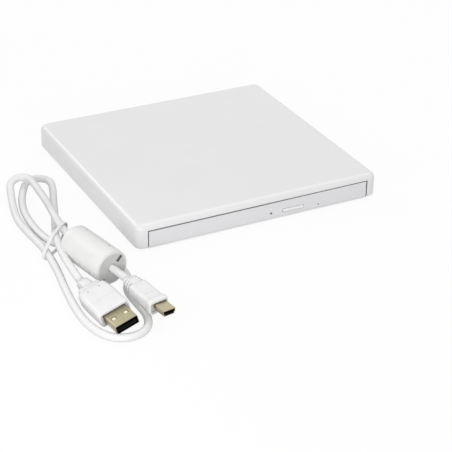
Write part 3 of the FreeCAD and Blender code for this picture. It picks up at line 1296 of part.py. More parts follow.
ROUTE = [
    (-111.0, -90.5, 4.6),
    (-111.4, -76.0, 6.6),
    (-110.2, -61.5, 7.5),
    (-107.6, -48.5, 8.6),
    (-102.8, -35.4, 2.5),
    (-95.8, -17.0, 2.05),
    (-90.0, 0.0, 2.05),
    (-86.6, 9.0, 2.1),
    (-84.4, 17.4, 2.6),
    (-86.8, 22.3, 3.0),
    (-91.9, 24.3, 3.2),
    (-97.0, 22.4, 3.2),
    (-101.8, 14.6, 2.8),
    (-107.0, 3.0, 2.05),
    (-110.4, -12.0, 2.05),
    (-110.9, -31.0, 2.2),
    (-108.9, -47.0, 3.0),
    (-99.8, -52.8, 2.3),
    (-89.2, -58.2, 2.05),
    (-87.3, -73.5, 2.05),
    (-86.3, -86.0, 2.05),
    (-87.6, -95.0, 2.05),
    (-92.6, -102.0, 2.05),
    (-93.2, -113.0, 2.05),
    (-92.6, -128.0, 2.05),
    (-97.6, -138.6, 2.05),
    (-107.0, -143.0, 2.05),
    (-116.6, -138.0, 2.05),
    (-121.6, -124.0, 2.05),
    (-121.2, -107.0, 2.05),
    (-118.6, -88.0, 2.05),
    (-115.6, -70.0, 2.2),
    (-114.3, -51.5, 3.1),
    (-115.2, -33.0, 2.2),
    (-116.0, -16.0, 2.1),
    (-113.2, -1.0, 2.8),
    (-110.4, 9.5, 4.6),
    (-108.4, 16.8, 6.2),
    (-104.8, 20.2, 7.4),
    (-100.0, 20.0, 8.1),
    (-97.2, 16.0, 8.5),
    (-97.6, 4.0, 8.5),
    (-98.6, -13.0, 8.6),
    (-101.7, -31.8, 10.4),
    (-103.2, -52.5, 9.1),
    (-94.6, -94.4, 9.1),
    (-92.7, -104.3, 9.0),
]


def tube_edges(points):
    """Straight runs joined by tangent arcs, and the arcs' radii."""
    edges = []
    radii = []
    last = points[0]
    for index in range(1, len(points) - 1):
        corner = points[index]
        back = points[index - 1] - corner
        ahead = points[index + 1] - corner
        reach = 0.45 * min(back.Length, ahead.Length)
        back.normalize()
        ahead.normalize()
        bend = math.pi - back.getAngle(ahead)
        radius = reach / math.tan(bend / 2)
        bisector = (back + ahead).normalize()
        start = corner + back * reach
        end = corner + ahead * reach
        middle = corner + bisector * (math.hypot(radius, reach) - radius)
        edges.append(Part.LineSegment(last, start).toShape())
        edges.append(Part.Arc(start, middle, end).toShape())
        radii.append(radius)
        last = end
    edges.append(Part.LineSegment(last, points[-1]).toShape())
    return edges, radii


def least_self_gap(wire, diameter):
    """Nearest approach of the tube to a far part of itself."""
    points = wire.discretize(Distance=0.7)
    least = 1000.0
    window = int(4 * diameter / 0.7)
    for index, point in enumerate(points):
        for other in points[index + window:]:
            least = min(least, point.distanceToPoint(other))
    return least - diameter


def shaped(name, shape, x=0, y=0, z=0, turn=None):
    """An object with a shape of its own, placed after it is shaped."""
    thing = doc.addObject("Part::Feature", name)
    thing.Shape = shape
    thing.Placement = FreeCAD.Placement(FreeCAD.Vector(x, y, z), turn or FreeCAD.Rotation())
    return thing


cord_radius = s.cord_diameter / 2
route = [FreeCAD.Vector(*point) for point in ROUTE]
edges, radii = tube_edges(route)
path = Part.Wire(edges)
start_ring = Part.Wire(Part.Circle(route[0], route[1] - route[0], cord_radius.value).toShape())
tube = path.makePipeShell([start_ring], True, False)
piece("usb_cable", shaped("UsbCable", tube))
section = math.pi * cord_radius.value ** 2
print(f"lead: {path.Length:.1f} long, least bend radius {min(radii):.1f},",
      f"least gap to itself {least_self_gap(path, s.cord_diameter.value):.2f},",
      f"volume over section times length {tube.Volume / (section * path.Length):.4f}")

# Ferrite bead on the straight stretch, with slots in its front end and mould pits in its side

bead = new_body("FerriteBead")
extrude(bead, "YZ", as_size(0), s.bead_long, circle(s.bead_radius), circle(cord_radius + s.bead_fit))
soften(bead, as_size(1.6), lambda box: box.XLength < 1e-4 and box.YLength > s.bead_radius.value * 1.5)
extrude(bead, "YZ", s.bead_long - 1.5, s.bead_long,
        *[rect(side * s.bead_radius * 0.5, side * s.bead_radius * 0.75, -1.4, 1.4) for side in BOTH], hollow=True)
extrude(bead, "XZ", -s.bead_radius - 1, s.bead_radius * -0.91,
        *[circle(s.pit_radius, s.bead_long * along, s.bead_radius * -0.3) for along in (0.2, 0.79)], hollow=True)
bead.Placement = FreeCAD.Placement(FreeCAD.Vector(), FreeCAD.Rotation(-78.4, 0, 0))
place(bead, -101.8, -59.6, 9.1)
piece("ferrite_bead", bead)

# Wire tie round the bundle, upright across four strands

TIE = [(-9.1, 2.85), (2.85, 2.8), (8.8, 9.6), (6.1, 9.5), (-1.05, 8.1)]
tie_points = [FreeCAD.Vector(across, -s.tie_wide.value / 2, up) for across, up in TIE]
tie_core = Part.Face(Part.makePolygon(tie_points + tie_points[:1]))
tie_in = cord_radius.value + s.tie_ease.value
tie_hole = tie_core.makeOffset2D(tie_in)
tie_outer = tie_core.makeOffset2D(tie_in + s.tie_thick.value)
tie_ring = tie_outer.cut(tie_hole).extrude(FreeCAD.Vector(0, s.tie_wide.value, 0))
piece("cable_tie", shaped("CableTie", tie_ring, -108.5, -50.0, 0.0, FreeCAD.Rotation(37.97, 0, 0)))


def plug_place(thing, x, y, z, heading, nose_up):
    """Lays a plug piece, drawn along X, where the lead ends."""
    thing.Placement = FreeCAD.Placement(FreeCAD.Vector(), FreeCAD.Rotation(heading, -nose_up, 0))
    place(thing, x, y, z)


PLUG_A = (-111.0, -90.5, 4.6, -84.0, 3.2)
PLUG_B = (-92.7, -104.3, 9.0, -80.0, -1.5)


def rings(body, length, radius, count):
    """A strain relief: a core with raised rings."""
    extrude(body, "YZ", as_size(0), length, circle(radius))
    pitch = length / count
    ring = extrude(body, "YZ", pitch * 0.25, pitch * 0.75, circle(radius + 0.45))
    row_of(body, ring, "X", length - pitch, count)


def outer_rim(x, half, high):
    """Picks the outermost edges of a face square to X."""
    def wanted(box):
        outside = near(max(-box.YMin, box.YMax), half) or near(max(-box.ZMin, box.ZMax), high)
        return outside and near(box.XMin, x) and near(box.XMax, x)
    return wanted


# Large plug: moulded grip with shoulders, pits and a fine line, metal shell and contact carrier

grip_a_x = s.relief_a + s.grip_a_long
half_a = s.grip_a_wide / 2
high_a = s.grip_a_high / 2
grip_a = new_body("UsbAOvermould")
rings(grip_a, s.relief_a, cord_radius + 0.8, 3)
shoulder_x = s.relief_a + 3.6
shoulder_in = 1.9
shoulder_drop = 0.6
extrude(grip_a, "YZ", s.relief_a, shoulder_x + 1.4,
        rect(shoulder_in - half_a, half_a - shoulder_in, shoulder_drop - high_a, high_a - shoulder_drop,
             as_size(1.8)))
extrude(grip_a, "YZ", shoulder_x, grip_a_x, rect(-half_a, half_a, -high_a, high_a, as_size(2.0)))
soften(grip_a, as_size(0.9), at_reach(grip_a_x))
soften(grip_a, as_size(0.9), outer_rim(shoulder_x, half_a, high_a))
line_deep = 0.15
line_wide = 0.25
line_a_x = s.relief_a + s.grip_a_long * 0.62
extrude(grip_a, "XY", high_a - line_deep, high_a + 1,
        rect(line_a_x, line_a_x + line_wide, half_a * -0.72, half_a * 0.72),
        *[circle(s.pit_radius, shoulder_x + 3.2, side * half_a * 0.38) for side in BOTH], hollow=True)
plug_place(grip_a, *PLUG_A)
piece("usb_a_overmould", grip_a)

shell_a = new_body("UsbAShell")
shell_a_x = grip_a_x + s.shell_a_long
shell_half = s.shell_a_wide / 2
shell_up = s.shell_a_high / 2
shell_corner = 0.6
extrude(shell_a, "YZ", grip_a_x, shell_a_x,
        rect(-shell_half, shell_half, -shell_up, shell_up, as_size(shell_corner)))
extrude(shell_a, "YZ", grip_a_x, shell_a_x,
        rect(s.shell_wall - shell_half, shell_half - s.shell_wall, s.shell_wall - shell_up,
             shell_up - s.shell_wall, shell_corner - s.shell_wall), hollow=True)
extrude(shell_a, "XY", -shell_up, shell_up,
        *[rect(shell_a_x - 7.4, shell_a_x - 5.2, side * 2.0, side * 4.4) for side in BOTH], hollow=True)
plug_place(shell_a, *PLUG_A)
piece("usb_a_shell", shell_a)

insert_a = new_body("UsbAInsert")
insert_half = shell_half - s.shell_wall - nearly
insert_low = s.shell_wall + nearly - shell_up
insert_top = insert_low + 1.85
contact_half = 0.5
contact_end_x = shell_a_x - 1.8
extrude(insert_a, "YZ", grip_a_x, shell_a_x - 0.5,
        rect(-insert_half, insert_half, insert_low, insert_top, as_size(0.4)))
extrude(insert_a, "XY", insert_top, insert_top + 0.15,
        *[rect(grip_a_x, contact_end_x, y - contact_half, y + contact_half) for y in (-4.0, -1.3, 1.3, 4.0)])
plug_place(insert_a, *PLUG_A)
piece("usb_a_insert", insert_a)

# Small plug: grip with a collar at its front, drawn-in metal shell

grip_b_x = s.relief_b + s.grip_b_long
half_b = s.grip_b_wide / 2
high_b = s.grip_b_high / 2
grip_b = new_body("MiniBOvermould")
rings(grip_b, s.relief_b, cord_radius + 0.6, 3)
collar = 0.4
extrude(grip_b, "YZ", s.relief_b, grip_b_x,
        rect(collar - half_b, half_b - collar, collar - high_b, high_b - collar, as_size(1.6)))
soften(grip_b, as_size(0.5), outer_rim(s.relief_b, half_b - collar, high_b - collar))
extrude(grip_b, "YZ", grip_b_x - 3, grip_b_x, rect(-half_b, half_b, -high_b, high_b, as_size(1.6)))
line_b_x = s.relief_b + s.grip_b_long * 0.58
extrude(grip_b, "XY", high_b - collar - line_deep, high_b + 1,
        rect(line_b_x, line_b_x + line_wide, half_b * -0.37, half_b * 0.37), hollow=True)
plug_place(grip_b, *PLUG_B)
piece("mini_b_overmould", grip_b)

shell_b = new_body("MiniBShell")
shell_b_x = grip_b_x + s.shell_b_long


def small_outline(inset):
    """Shell of the small plug, drawn in towards its lower side."""
    wide = s.shell_b_wide / 2 - inset
    up = s.shell_b_high / 2 - inset
    drawn = wide - 0.6
    return polygon((-wide, up), (-wide, 0.1 - up / 4), (-drawn, -up / 2), (-drawn, -up), (drawn, -up),
                   (drawn, -up / 2), (wide, 0.1 - up / 4), (wide, up))


extrude(shell_b, "YZ", grip_b_x, shell_b_x, small_outline(as_size(0)))
extrude(shell_b, "YZ", grip_b_x, shell_b_x, small_outline(s.shell_wall), hollow=True)
plug_place(shell_b, *PLUG_B)
piece("mini_b_shell", shell_b)

insert_b = new_body("MiniBInsert")
insert_b_half = s.shell_b_wide / 2 - s.shell_wall - 0.65
insert_b_low = s.shell_wall + nearly - s.shell_b_high / 2
extrude(insert_b, "XY", insert_b_low, insert_b_low + 0.7,
        rect(grip_b_x, shell_b_x - 0.8, -insert_b_half, insert_b_half))
plug_place(insert_b, *PLUG_B)
piece("mini_b_insert", insert_b)

# Checks, then one file for each sub-part

doc.recompute()
faults = [item.Label for item in doc.Objects if {"Invalid", "Error"} & set(item.State)]
if faults:
    raise RuntimeError(f"objects that failed: {faults}")
for changed, before in CUTS:
    if changed.Shape.Volume > before.Shape.Volume - 1e-4:
        raise RuntimeError(f"{changed.Label} cuts nothing")
for thing in PIECES:
    if thing.Shape.isNull() or not thing.Shape.isValid():
        raise RuntimeError(f"{thing.Label} has no valid shape")

os.makedirs("parts", exist_ok=True)
for thing in PIECES:
    thing.Shape.exportStep(f"parts/{thing.Label}.step")
print(len(PIECES), "sub-parts written")
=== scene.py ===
# %% [markdown]
# # A slim external disc drive with its lead
# The measured model of the drive comes first, as a fixed frame: every case, board and plug
# is already the right size and in the right place. This script adds what a model made
# for measuring lacks, which is the lead as a soft line, the finishes, and the smallest details.
# Everything is in metres, with the ground at zero height.

# %% Load the measured model
import math

import bpy
from mathutils import Matrix, Vector


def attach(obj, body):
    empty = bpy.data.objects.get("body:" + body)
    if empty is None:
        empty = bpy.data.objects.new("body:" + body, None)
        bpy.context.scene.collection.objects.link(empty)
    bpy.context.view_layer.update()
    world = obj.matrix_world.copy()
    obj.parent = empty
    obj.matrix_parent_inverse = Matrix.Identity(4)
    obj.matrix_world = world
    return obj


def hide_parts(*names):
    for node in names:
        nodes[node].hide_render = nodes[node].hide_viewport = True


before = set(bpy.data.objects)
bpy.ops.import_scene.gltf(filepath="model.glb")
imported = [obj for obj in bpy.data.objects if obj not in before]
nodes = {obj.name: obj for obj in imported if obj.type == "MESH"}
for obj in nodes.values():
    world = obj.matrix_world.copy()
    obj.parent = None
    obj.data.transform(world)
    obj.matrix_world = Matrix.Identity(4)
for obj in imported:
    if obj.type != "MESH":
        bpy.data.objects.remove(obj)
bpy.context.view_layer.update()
MM = 0.001

# %% [markdown]
# The camera stands where the photographer's stood: to the left of the drive's front and
# well above it. A long lens, more than three times the width of its frame, keeps the
# drive's edges nearly parallel. Its place was found by matching the corners of the drive.

# %% Camera
IMAGE_WIDE = 452
LENS_IN_PIXELS = 1424.25
FRAME_WIDE = 36.0
LENS = LENS_IN_PIXELS * FRAME_WIDE / IMAGE_WIDE
AZIMUTH = math.radians(-28.08)
ELEVATION = math.radians(29.05)
ROLL = math.radians(1.32)
CAMERA_PLACE = Vector((-0.32604, -0.64056, 0.36316))


def aim(azimuth, elevation, roll):
    """The camera's own axes, as the columns of a turn."""
    back = Vector((math.sin(azimuth) * math.cos(elevation),
                   -math.cos(azimuth) * math.cos(elevation),
                   math.sin(elevation)))
    level = Vector((math.cos(azimuth), math.sin(azimuth), 0))
    upright = back.cross(level)
    right = level * math.cos(roll) + upright * math.sin(roll)
    up = upright * math.cos(roll) - level * math.sin(roll)
    return Matrix((right, up, back)).transposed().to_4x4()


camera_data = bpy.data.cameras.new("camera")
camera_data.lens = LENS
camera_data.sensor_width = FRAME_WIDE
camera_data.clip_start = 0.02
camera_data.clip_end = 20
camera = bpy.data.objects.new("camera", camera_data)
camera.matrix_world = Matrix.Translation(CAMERA_PLACE) @ aim(AZIMUTH, ELEVATION, ROLL)
bpy.context.scene.collection.objects.link(camera)
bpy.context.scene.camera = camera
print("lens", round(LENS, 1), "mm")

# %% [markdown]
# The lead is one flexible length. It could be a chain of straight tubes and arcs, but that
# looks like bent wire, so it is one smooth curve drawn towards a short list of points. It
# starts at the large plug, passes over itself, makes a loop behind the tie, another in
# front, and a last one that ends in the bead and the small plug. Where it crosses itself
# the points rise by a diameter.

# %% The lead
LEAD_THICK = 4.0 * MM
LEAD_POINTS = [
    (-0.1110, -0.0905, 0.0046), (-0.1114, -0.0760, 0.0066), (-0.1102, -0.0615, 0.0075),
    (-0.1076, -0.0485, 0.0086), (-0.1028, -0.0354, 0.0025), (-0.0958, -0.0170, 0.00205),
    (-0.0900, 0.0000, 0.00205), (-0.0866, 0.0090, 0.0021), (-0.0844, 0.0174, 0.0026),
    (-0.0868, 0.0223, 0.0030), (-0.0919, 0.0243, 0.0032), (-0.0970, 0.0224, 0.0032),
    (-0.1018, 0.0146, 0.0028), (-0.1070, 0.0030, 0.00205), (-0.1104, -0.0120, 0.00205),
    (-0.1109, -0.0310, 0.0022), (-0.1089, -0.0470, 0.0030), (-0.0998, -0.0528, 0.0023),
    (-0.0892, -0.0582, 0.00205), (-0.0873, -0.0735, 0.00205), (-0.0863, -0.0860, 0.00205),
    (-0.0876, -0.0950, 0.00205), (-0.0926, -0.1020, 0.00205), (-0.0932, -0.1130, 0.00205),
    (-0.0926, -0.1280, 0.00205), (-0.0976, -0.1386, 0.00205), (-0.1070, -0.1419, 0.00205),
    (-0.1165, -0.1376, 0.00205), (-0.1214, -0.1240, 0.00205), (-0.1211, -0.1070, 0.00205),
    (-0.1186, -0.0880, 0.00205), (-0.1156, -0.0700, 0.0022), (-0.1143, -0.0515, 0.0031),
    (-0.1152, -0.0330, 0.0022), (-0.1160, -0.0160, 0.0021), (-0.1132, -0.0010, 0.0028),
    (-0.1104, 0.0095, 0.0046), (-0.1084, 0.0168, 0.0062), (-0.1048, 0.0202, 0.0074),
    (-0.1000, 0.0200, 0.0081), (-0.0972, 0.0160, 0.0085), (-0.0976, 0.0040, 0.0085),
    (-0.0986, -0.0130, 0.0086), (-0.1017, -0.0318, 0.0104), (-0.1032, -0.0525, 0.0091),
    (-0.0946, -0.0944, 0.0091), (-0.0927, -0.1043, 0.0090),
]


def soft_line(name, points, thick):
    """A smooth round line drawn towards the points."""
    data = bpy.data.curves.new(name, "CURVE")
    data.dimensions = "3D"
    data.resolution_u = 10
    data.bevel_depth = 1.0
    data.bevel_resolution = 8
    data.use_fill_caps = True
    spline = data.splines.new("NURBS")
    spline.points.add(len(points) - 1)
    for point, corner in zip(spline.points, points):
        point.co = (*corner, 1)
        point.radius = thick / 2
    spline.order_u = 3
    spline.use_endpoint_u = True
    thing = bpy.data.objects.new(name, data)
    bpy.context.scene.collection.objects.link(thing)
    return thing


lead = soft_line("lead_jacket", LEAD_POINTS, LEAD_THICK)
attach(lead, "housing")
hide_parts("usb_cable")
print("lead drawn towards", len(LEAD_POINTS), "points")

# %% [markdown]
# A finish is a small program: patterns go in, and a colour, a roughness and a bump come
# out. Nodes can be wired by hand, but sums read better as sums, so a wire here can be added
# to, taken from and multiplied like a number. Each sum adds its node: plain Math for values,
# Vector Math where a vector takes part.

# %% Wires that can be summed
class Wire:
    """One output of a node, used in sums as if it were a number or a vector."""

    def __init__(self, tree, socket):
        self.tree = tree
        self.socket = socket

    def __add__(self, other):
        return self.tree.sum("ADD", self, other)

    def __radd__(self, other):
        return self.tree.sum("ADD", other, self)

    def __sub__(self, other):
        return self.tree.sum("SUBTRACT", self, other)

    def __rsub__(self, other):
        return self.tree.sum("SUBTRACT", other, self)

    def __mul__(self, other):
        return self.tree.sum("MULTIPLY", self, other)

    def __rmul__(self, other):
        return self.tree.sum("MULTIPLY", other, self)


# %% [markdown]
# A colour is written as a screen shows it, from 0 to 255. A shader reckons in amounts of
# light instead, so each part of the colour goes through the curve that screens use. A
# worn or shaded place is mostly the same colour with less light in it.

# %% Colours
SCREEN_KNEE = 0.04045
SCREEN_SLOPE = 12.92
SCREEN_LIFT = 0.055
SCREEN_POWER = 2.4


def as_light(shade):
    """A colour from 0 to 255, in the amounts of light that the shader wants."""
    light = []
    for value in shade:
        part = value / 255
        if part < SCREEN_KNEE:
            light.append(part / SCREEN_SLOPE)
        else:
            light.append(((part + SCREEN_LIFT) / (1 + SCREEN_LIFT)) ** SCREEN_POWER)
    return (*light, 1.0)


def dimmed(shade, share):
    """A colour that keeps a share of its light."""
    return tuple(part * share for part in shade[:3]) + (1.0,)


print("a screen's middle grey is", round(as_light((128, 128, 128))[0], 3), "of the light")

# %% [markdown]
# All other nodes come from one method. It takes the node's type, then its settings, which
# have to be in place before its sockets are, and then what goes into the sockets.

# %% Node trees
class Tree:
    """Nodes that are being written, of a material or of the sky."""

    def __init__(self, holder):
        holder.use_nodes = True
        self.tree = holder.node_tree

    def node(self, kind, settings=None, inputs=None, output=0):
        """A new node, given back as the wire of one of its outputs."""
        made = self.tree.nodes.new(kind)
        for name, value in (settings or {}).items():
            setattr(made, name, value)
        for name, value in (inputs or {}).items():
            self.feed(made.inputs[name], value)
        return Wire(self, made.outputs[output])

    def feed(self, socket, value):
        """Joins a wire to a socket, or sets the socket's own value."""
        if isinstance(value, Wire):
            self.tree.links.new(value.socket, socket)
        else:
            socket.default_value = value

    def sum(self, operation, *values):
        """A Math node, or a Vector Math node where a vector takes part."""
        vectors = [v for v in values
                   if isinstance(v, tuple) or isinstance(v, Wire) and v.socket.type == "VECTOR"]
        if not vectors:
            return self.node("ShaderNodeMath", {"operation": operation}, dict(enumerate(values)))
        full = [(v, v, v) if isinstance(v, (int, float)) else v for v in values]
        return self.node("ShaderNodeVectorMath", {"operation": operation}, dict(enumerate(full)))

    def seen_directly(self):
        """1 for what the lens, a gloss or a glass sees, and 0 for light on its way to a surface."""
        rays = [self.node("ShaderNodeLightPath", output=name)
                for name in ("Is Camera Ray", "Is Glossy Ray", "Is Transmission Ray")]
        return self.sum("MINIMUM", rays[0] + rays[1] + rays[2], 1.0)


# %% [markdown]
# A finish is the node tree of one material. Its methods name the patterns that this drive
# needs. Sizes are in millimetres, because that is how grain and scratches are measured.

# %% A finish
class Finish(Tree):
    """A material that is being written."""

    def __init__(self, name):
        self.material = bpy.data.materials.new(name)
        super().__init__(self.material)
        self.shader = self.tree.nodes["Principled BSDF"]
        self.spot = self.node("ShaderNodeTexCoord", output="Object")

    def noise(self, size, detail=2.0, stretch=(1.0, 1.0, 1.0)):
        """Cloudy pattern whose lumps are about size millimetres apart."""
        return self.node("ShaderNodeTexNoise", {"noise_dimensions": "3D"},
                         {"Vector": self.spot * stretch, "Scale": 1 / (size * MM),
                          "Detail": detail, "Roughness": 0.5})

    def cells(self, size):
        """Cells of chance colour, size millimetres from cell to cell."""
        return self.node("ShaderNodeTexVoronoi", {"feature": "F1"},
                         {"Vector": self.spot, "Scale": 1 / (size * MM)}, "Color")

    def along(self, axis):
        """How far along an axis, in metres."""
        return self.node("ShaderNodeSeparateXYZ", inputs={"Vector": self.spot}, output="XYZ".index(axis))

    def stripes(self, axis, pitch):
        """A value that rises and falls between 0 and 1, once each pitch of millimetres."""
        turns = self.along(axis) * (2 / (pitch * MM))
        return self.node("ShaderNodeMath", {"operation": "PINGPONG"}, {0: turns, 1: 1.0})

    def fit(self, value, low, high, to_low=0.0, to_high=1.0):
        """The value's stretch from low to high, made to run between two others, and held there."""
        return self.node("ShaderNodeMapRange", {"interpolation_type": "SMOOTHSTEP"},
                         {"Value": value, "From Min": low, "From Max": high,
                          "To Min": to_low, "To Max": to_high})

    def mix(self, mask, first, second):
        """The first colour where the mask is 0, and the second where it is 1."""
        return self.node("ShaderNodeMix", {"data_type": "RGBA", "clamp_factor": True},
                         {0: mask, 6: first, 7: second}, 2)

    def bump(self, height, depth):
        """The surface leaned by a height pattern that is depth millimetres from low to high."""
        inputs = {"Height": height, "Distance": depth * MM, "Strength": 1.0}
        return self.node("ShaderNodeBump", inputs=inputs, output="Normal")

    def paint(self, **sockets):
        """Fills the shader's sockets: a number stays a number, and a wire is joined."""
        for name, value in sockets.items():
            self.feed(self.shader.inputs[name.replace("_", " ")], value)
        return self.material


# %% [markdown]
# Most of the drive is moulded plastic. Real moulded plastic is never one flat colour: the
# steel mould leaves a fine grain, the melt cools a little unevenly, so its shade and gloss
# drift over a few centimetres, and handling leaves faint smears. One function holds
# these for every plastic, and each plastic says how coarse, deep and glossy its own are.
# Along the top edge of the tray's front, between two heights, a painted shade stands for
# the shadow of the gap above it, darker towards the left.

# %% Moulded plastics
DRIFT = 0.012
GAP_SHADE = as_light((112, 112, 116))
STRONG_SHADE_X, FAINT_SHADE_X = -30 * MM, 55 * MM


def moulded(name, shade, rough, grain=0.35, depth=0.004, gap_shade=None, **extra):
    """A plastic with its gloss, its grain's size and depth in mm, and the heights of a painted gap shade."""
    finish = Finish(name)
    shade = as_light(shade)
    cloud = finish.noise(22, detail=3)
    smear = finish.fit(finish.noise(9, detail=4, stretch=(1, 0.4, 1)), 0.45, 0.8)
    tooth = finish.noise(grain, detail=3)
    fine = finish.noise(grain / 4, detail=1)
    colour = finish.mix(finish.fit(cloud, 0.35, 0.65), shade, dimmed(shade, 1 - DRIFT))
    # Painted shade of the gap: darker between two heights, more towards the left.
    if gap_shade:
        near_gap = finish.fit(finish.along("Z"), gap_shade[0] * MM, gap_shade[1] * MM)
        side = finish.fit(finish.along("X"), STRONG_SHADE_X, FAINT_SHADE_X, to_low=0.85, to_high=0.1)
        colour = finish.mix(near_gap * side, colour, GAP_SHADE)
    return finish.paint(
        Base_Color=colour,
        Roughness=rough + 0.06 * (tooth - 0.5) - 0.05 * smear,
        Normal=finish.bump(tooth + 0.3 * fine, depth),
        **extra)


finishes = {
    "shell_plastic": moulded("cover_plastic", (240, 240, 240),
                             rough=0.26, grain=0.5, depth=0.0015, IOR=1.5),
    # The front gets the painted shade of the gap above it.
    "bezel_plastic": moulded("front_plastic", (236, 236, 238), rough=0.24, grain=0.6, depth=0.0015,
                             gap_shade=(10.0, 10.36), IOR=1.5),
    "button_plastic": moulded("button_cap", (250, 250, 251), rough=0.3, grain=0.5, depth=0.003, IOR=1.5),
    "guide_plastic": moulded("slide_plastic", (44, 44, 47), rough=0.38),
    "connector_plastic": moulded("connector_black", (28, 28, 30), rough=0.4, grain=0.3, depth=0.003),
    "contact_plastic": moulded("plug_tongue", (6, 6, 7),
                               rough=0.6, grain=0.3, depth=0.003, Specular_IOR_Level=0.15),
    "table_plastic": moulded("hub_plastic", (30, 30, 33), rough=0.36),
    "pawl_plastic": moulded("pawl_white", (196, 194, 186), rough=0.4),
    "pickup_lid": moulded("pickup_top", (26, 26, 29), rough=0.5),
    "hook_plastic": moulded("hook_white", (214, 212, 205), rough=0.36),
    "lens_black": moulded("holder_black", (24, 24, 26), rough=0.5, grain=0.2),
    "chip_black": moulded("chip_resin", (33, 33, 36), rough=0.55, grain=0.18, depth=0.006),
    "coil_dark": moulded("coil_tape", (48, 40, 30), rough=0.45, grain=0.5, depth=0.01),
    "tie_plastic": moulded("tie_film", (238, 238, 238), rough=0.3, grain=0.8, depth=0.003),
}
print(len(finishes), "moulded plastics")

# %% [markdown]
# The tray is black plastic with a sparked, satin skin. Discs that slid about in it have
# left faint arcs round its middle, and their edges have rubbed a paler, glossier band just
# inside the rim of its recess. Both follow the distance from the disc's centre, and a soft
# pattern breaks them into patches.

# %% The tray's plastic
DISC_CENTRE = (0.0, -1.0 * MM, 0.0)
DISC_RADIUS = 60 * MM
ARCS_APART = 0.7 * MM
BAND_WIDE = 2.5 * MM
BAND_SOFT = 0.6 * MM


def worn_tray(name, shade, rubbed):
    finish = Finish(name)
    flat = (finish.spot - DISC_CENTRE) * (1.0, 1.0, 0.0)
    away = finish.node("ShaderNodeVectorMath", {"operation": "LENGTH"}, {0: flat}, 1)
    rings = finish.node("ShaderNodeTexNoise", {"noise_dimensions": "1D"},
                        {"W": away, "Scale": 1 / ARCS_APART, "Detail": 3.0})
    within = 1 - finish.fit(away, DISC_RADIUS, DISC_RADIUS + BAND_SOFT)
    patch = finish.fit(finish.noise(16, detail=3), 0.45, 0.65)
    arcs = finish.fit(rings, 0.55, 0.72) * patch * within
    rub = finish.fit(away, DISC_RADIUS - BAND_WIDE, DISC_RADIUS) * within * (0.5 + 0.5 * patch)
    tooth = finish.noise(0.25, detail=3)
    return finish.paint(
        Base_Color=finish.mix(0.3 * arcs + 0.55 * rub, as_light(shade), as_light(rubbed)),
        Roughness=0.48 + 0.06 * (tooth - 0.5) - 0.08 * arcs - 0.14 * rub,
        Normal=finish.bump(tooth, 0.008))


finishes["tray_plastic"] = worn_tray("tray_black", (38, 39, 42), (78, 79, 82))

# %% [markdown]
# The lead's jacket, its plugs and the bead are soft vinyl: whiter than the drive, a little
# waxy, with a finer skin and faint dull patches where it was handled. Its colour is painted
# a little greyer where it is seen edge on, a painted shade at the edges of the lead and plugs.

# %% Soft vinyl of the lead
def vinyl(name, shade, edge=0.8):
    """A vinyl, with the share of its light that its painted edge shade leaves where seen edge on."""
    finish = Finish(name)
    shade = as_light(shade)
    slant = finish.node("ShaderNodeLayerWeight", inputs={"Blend": 0.5}, output="Facing")
    skin = finish.noise(0.25, detail=2)
    rub = finish.fit(finish.noise(6, detail=4), 0.5, 0.75)
    plain = finish.mix(rub, shade, dimmed(shade, 0.955))
    return finish.paint(
        # Painted shade: greyer where the surface is seen edge on.
        Base_Color=finish.mix(finish.fit(slant, 0.45, 0.95), plain, dimmed(shade, edge)),
        Roughness=0.36 + 0.14 * rub + 0.05 * (skin - 0.5),
        Normal=finish.bump(skin, 0.004),
        Specular_IOR_Level=0.45)


# The lead gets the strongest painted edge shade.
finishes["cord_plastic"] = vinyl("lead_vinyl", (241, 241, 241), edge=0.68)
# Besides the bead's vinyl, these are painted shades: the bead's end and rim, and the faces of seats, pits
# and slots.
VINYLS = {
    "grip_vinyl": (240, 240, 240),
    "bead_vinyl": (239, 239, 238),
    "bead_end_shade": (204, 204, 202),
    "bead_rim_shade": (228, 228, 227),
    "recess_shade": (196, 196, 194),
    "slot_faint_shade": (236, 236, 235),
    "deep_shade": (130, 130, 128),
}
for name, shade in VINYLS.items():
    finishes[name] = vinyl(name, shade)
print(1 + len(VINYLS), "vinyls")

# %% [markdown]
# Rubber is matt, and dust clings to it. The feet are pale and firm, the disc's mat and the
# dampers black and soft.

# %% Rubbers
def rubber(name, shade, dust):
    finish = Finish(name)
    dusty = finish.fit(finish.noise(1.6, detail=5), 0.45, 0.75)
    skin = finish.noise(0.15, detail=2)
    return finish.paint(
        Base_Color=finish.mix(dusty * 0.5, as_light(shade), as_light(dust)),
        Roughness=0.72 + 0.1 * dusty,
        Normal=finish.bump(skin, 0.012))


finishes["foot_rubber"] = rubber("foot_pale", (196, 197, 199), (170, 170, 168))
finishes["mat_rubber"] = rubber("mat_black", (30, 30, 31), (92, 90, 86))
finishes["damper_rubber"] = rubber("damper_black", (34, 34, 36), (80, 80, 78))
# The black strip behind the front's gap wears this finish, as a painted shade of the gap.
finishes["felt_black"] = rubber("felt_black", (14, 14, 15), (52, 51, 50))

# %% [markdown]
# Metal parts differ by how they were made. Sheet is rolled, so it has long fine scratches
# one way and, where it is zinc coated, large pale flakes. Drawn rods, cans and cups have
# fine lines along their length. Castings are dull and grainy. The flakes and scratches go
# into roughness more than into colour, because that is how metal shows them. The plugs'
# metal keeps its plain shade at the tips and is darker towards the grips, between two
# places on Y.

# %% Metals
LENGTHWISE = (1.0, 0.04, 1.0)
UPRIGHT = (1.0, 1.0, 0.05)
EVEN = (1.0, 1.0, 1.0)


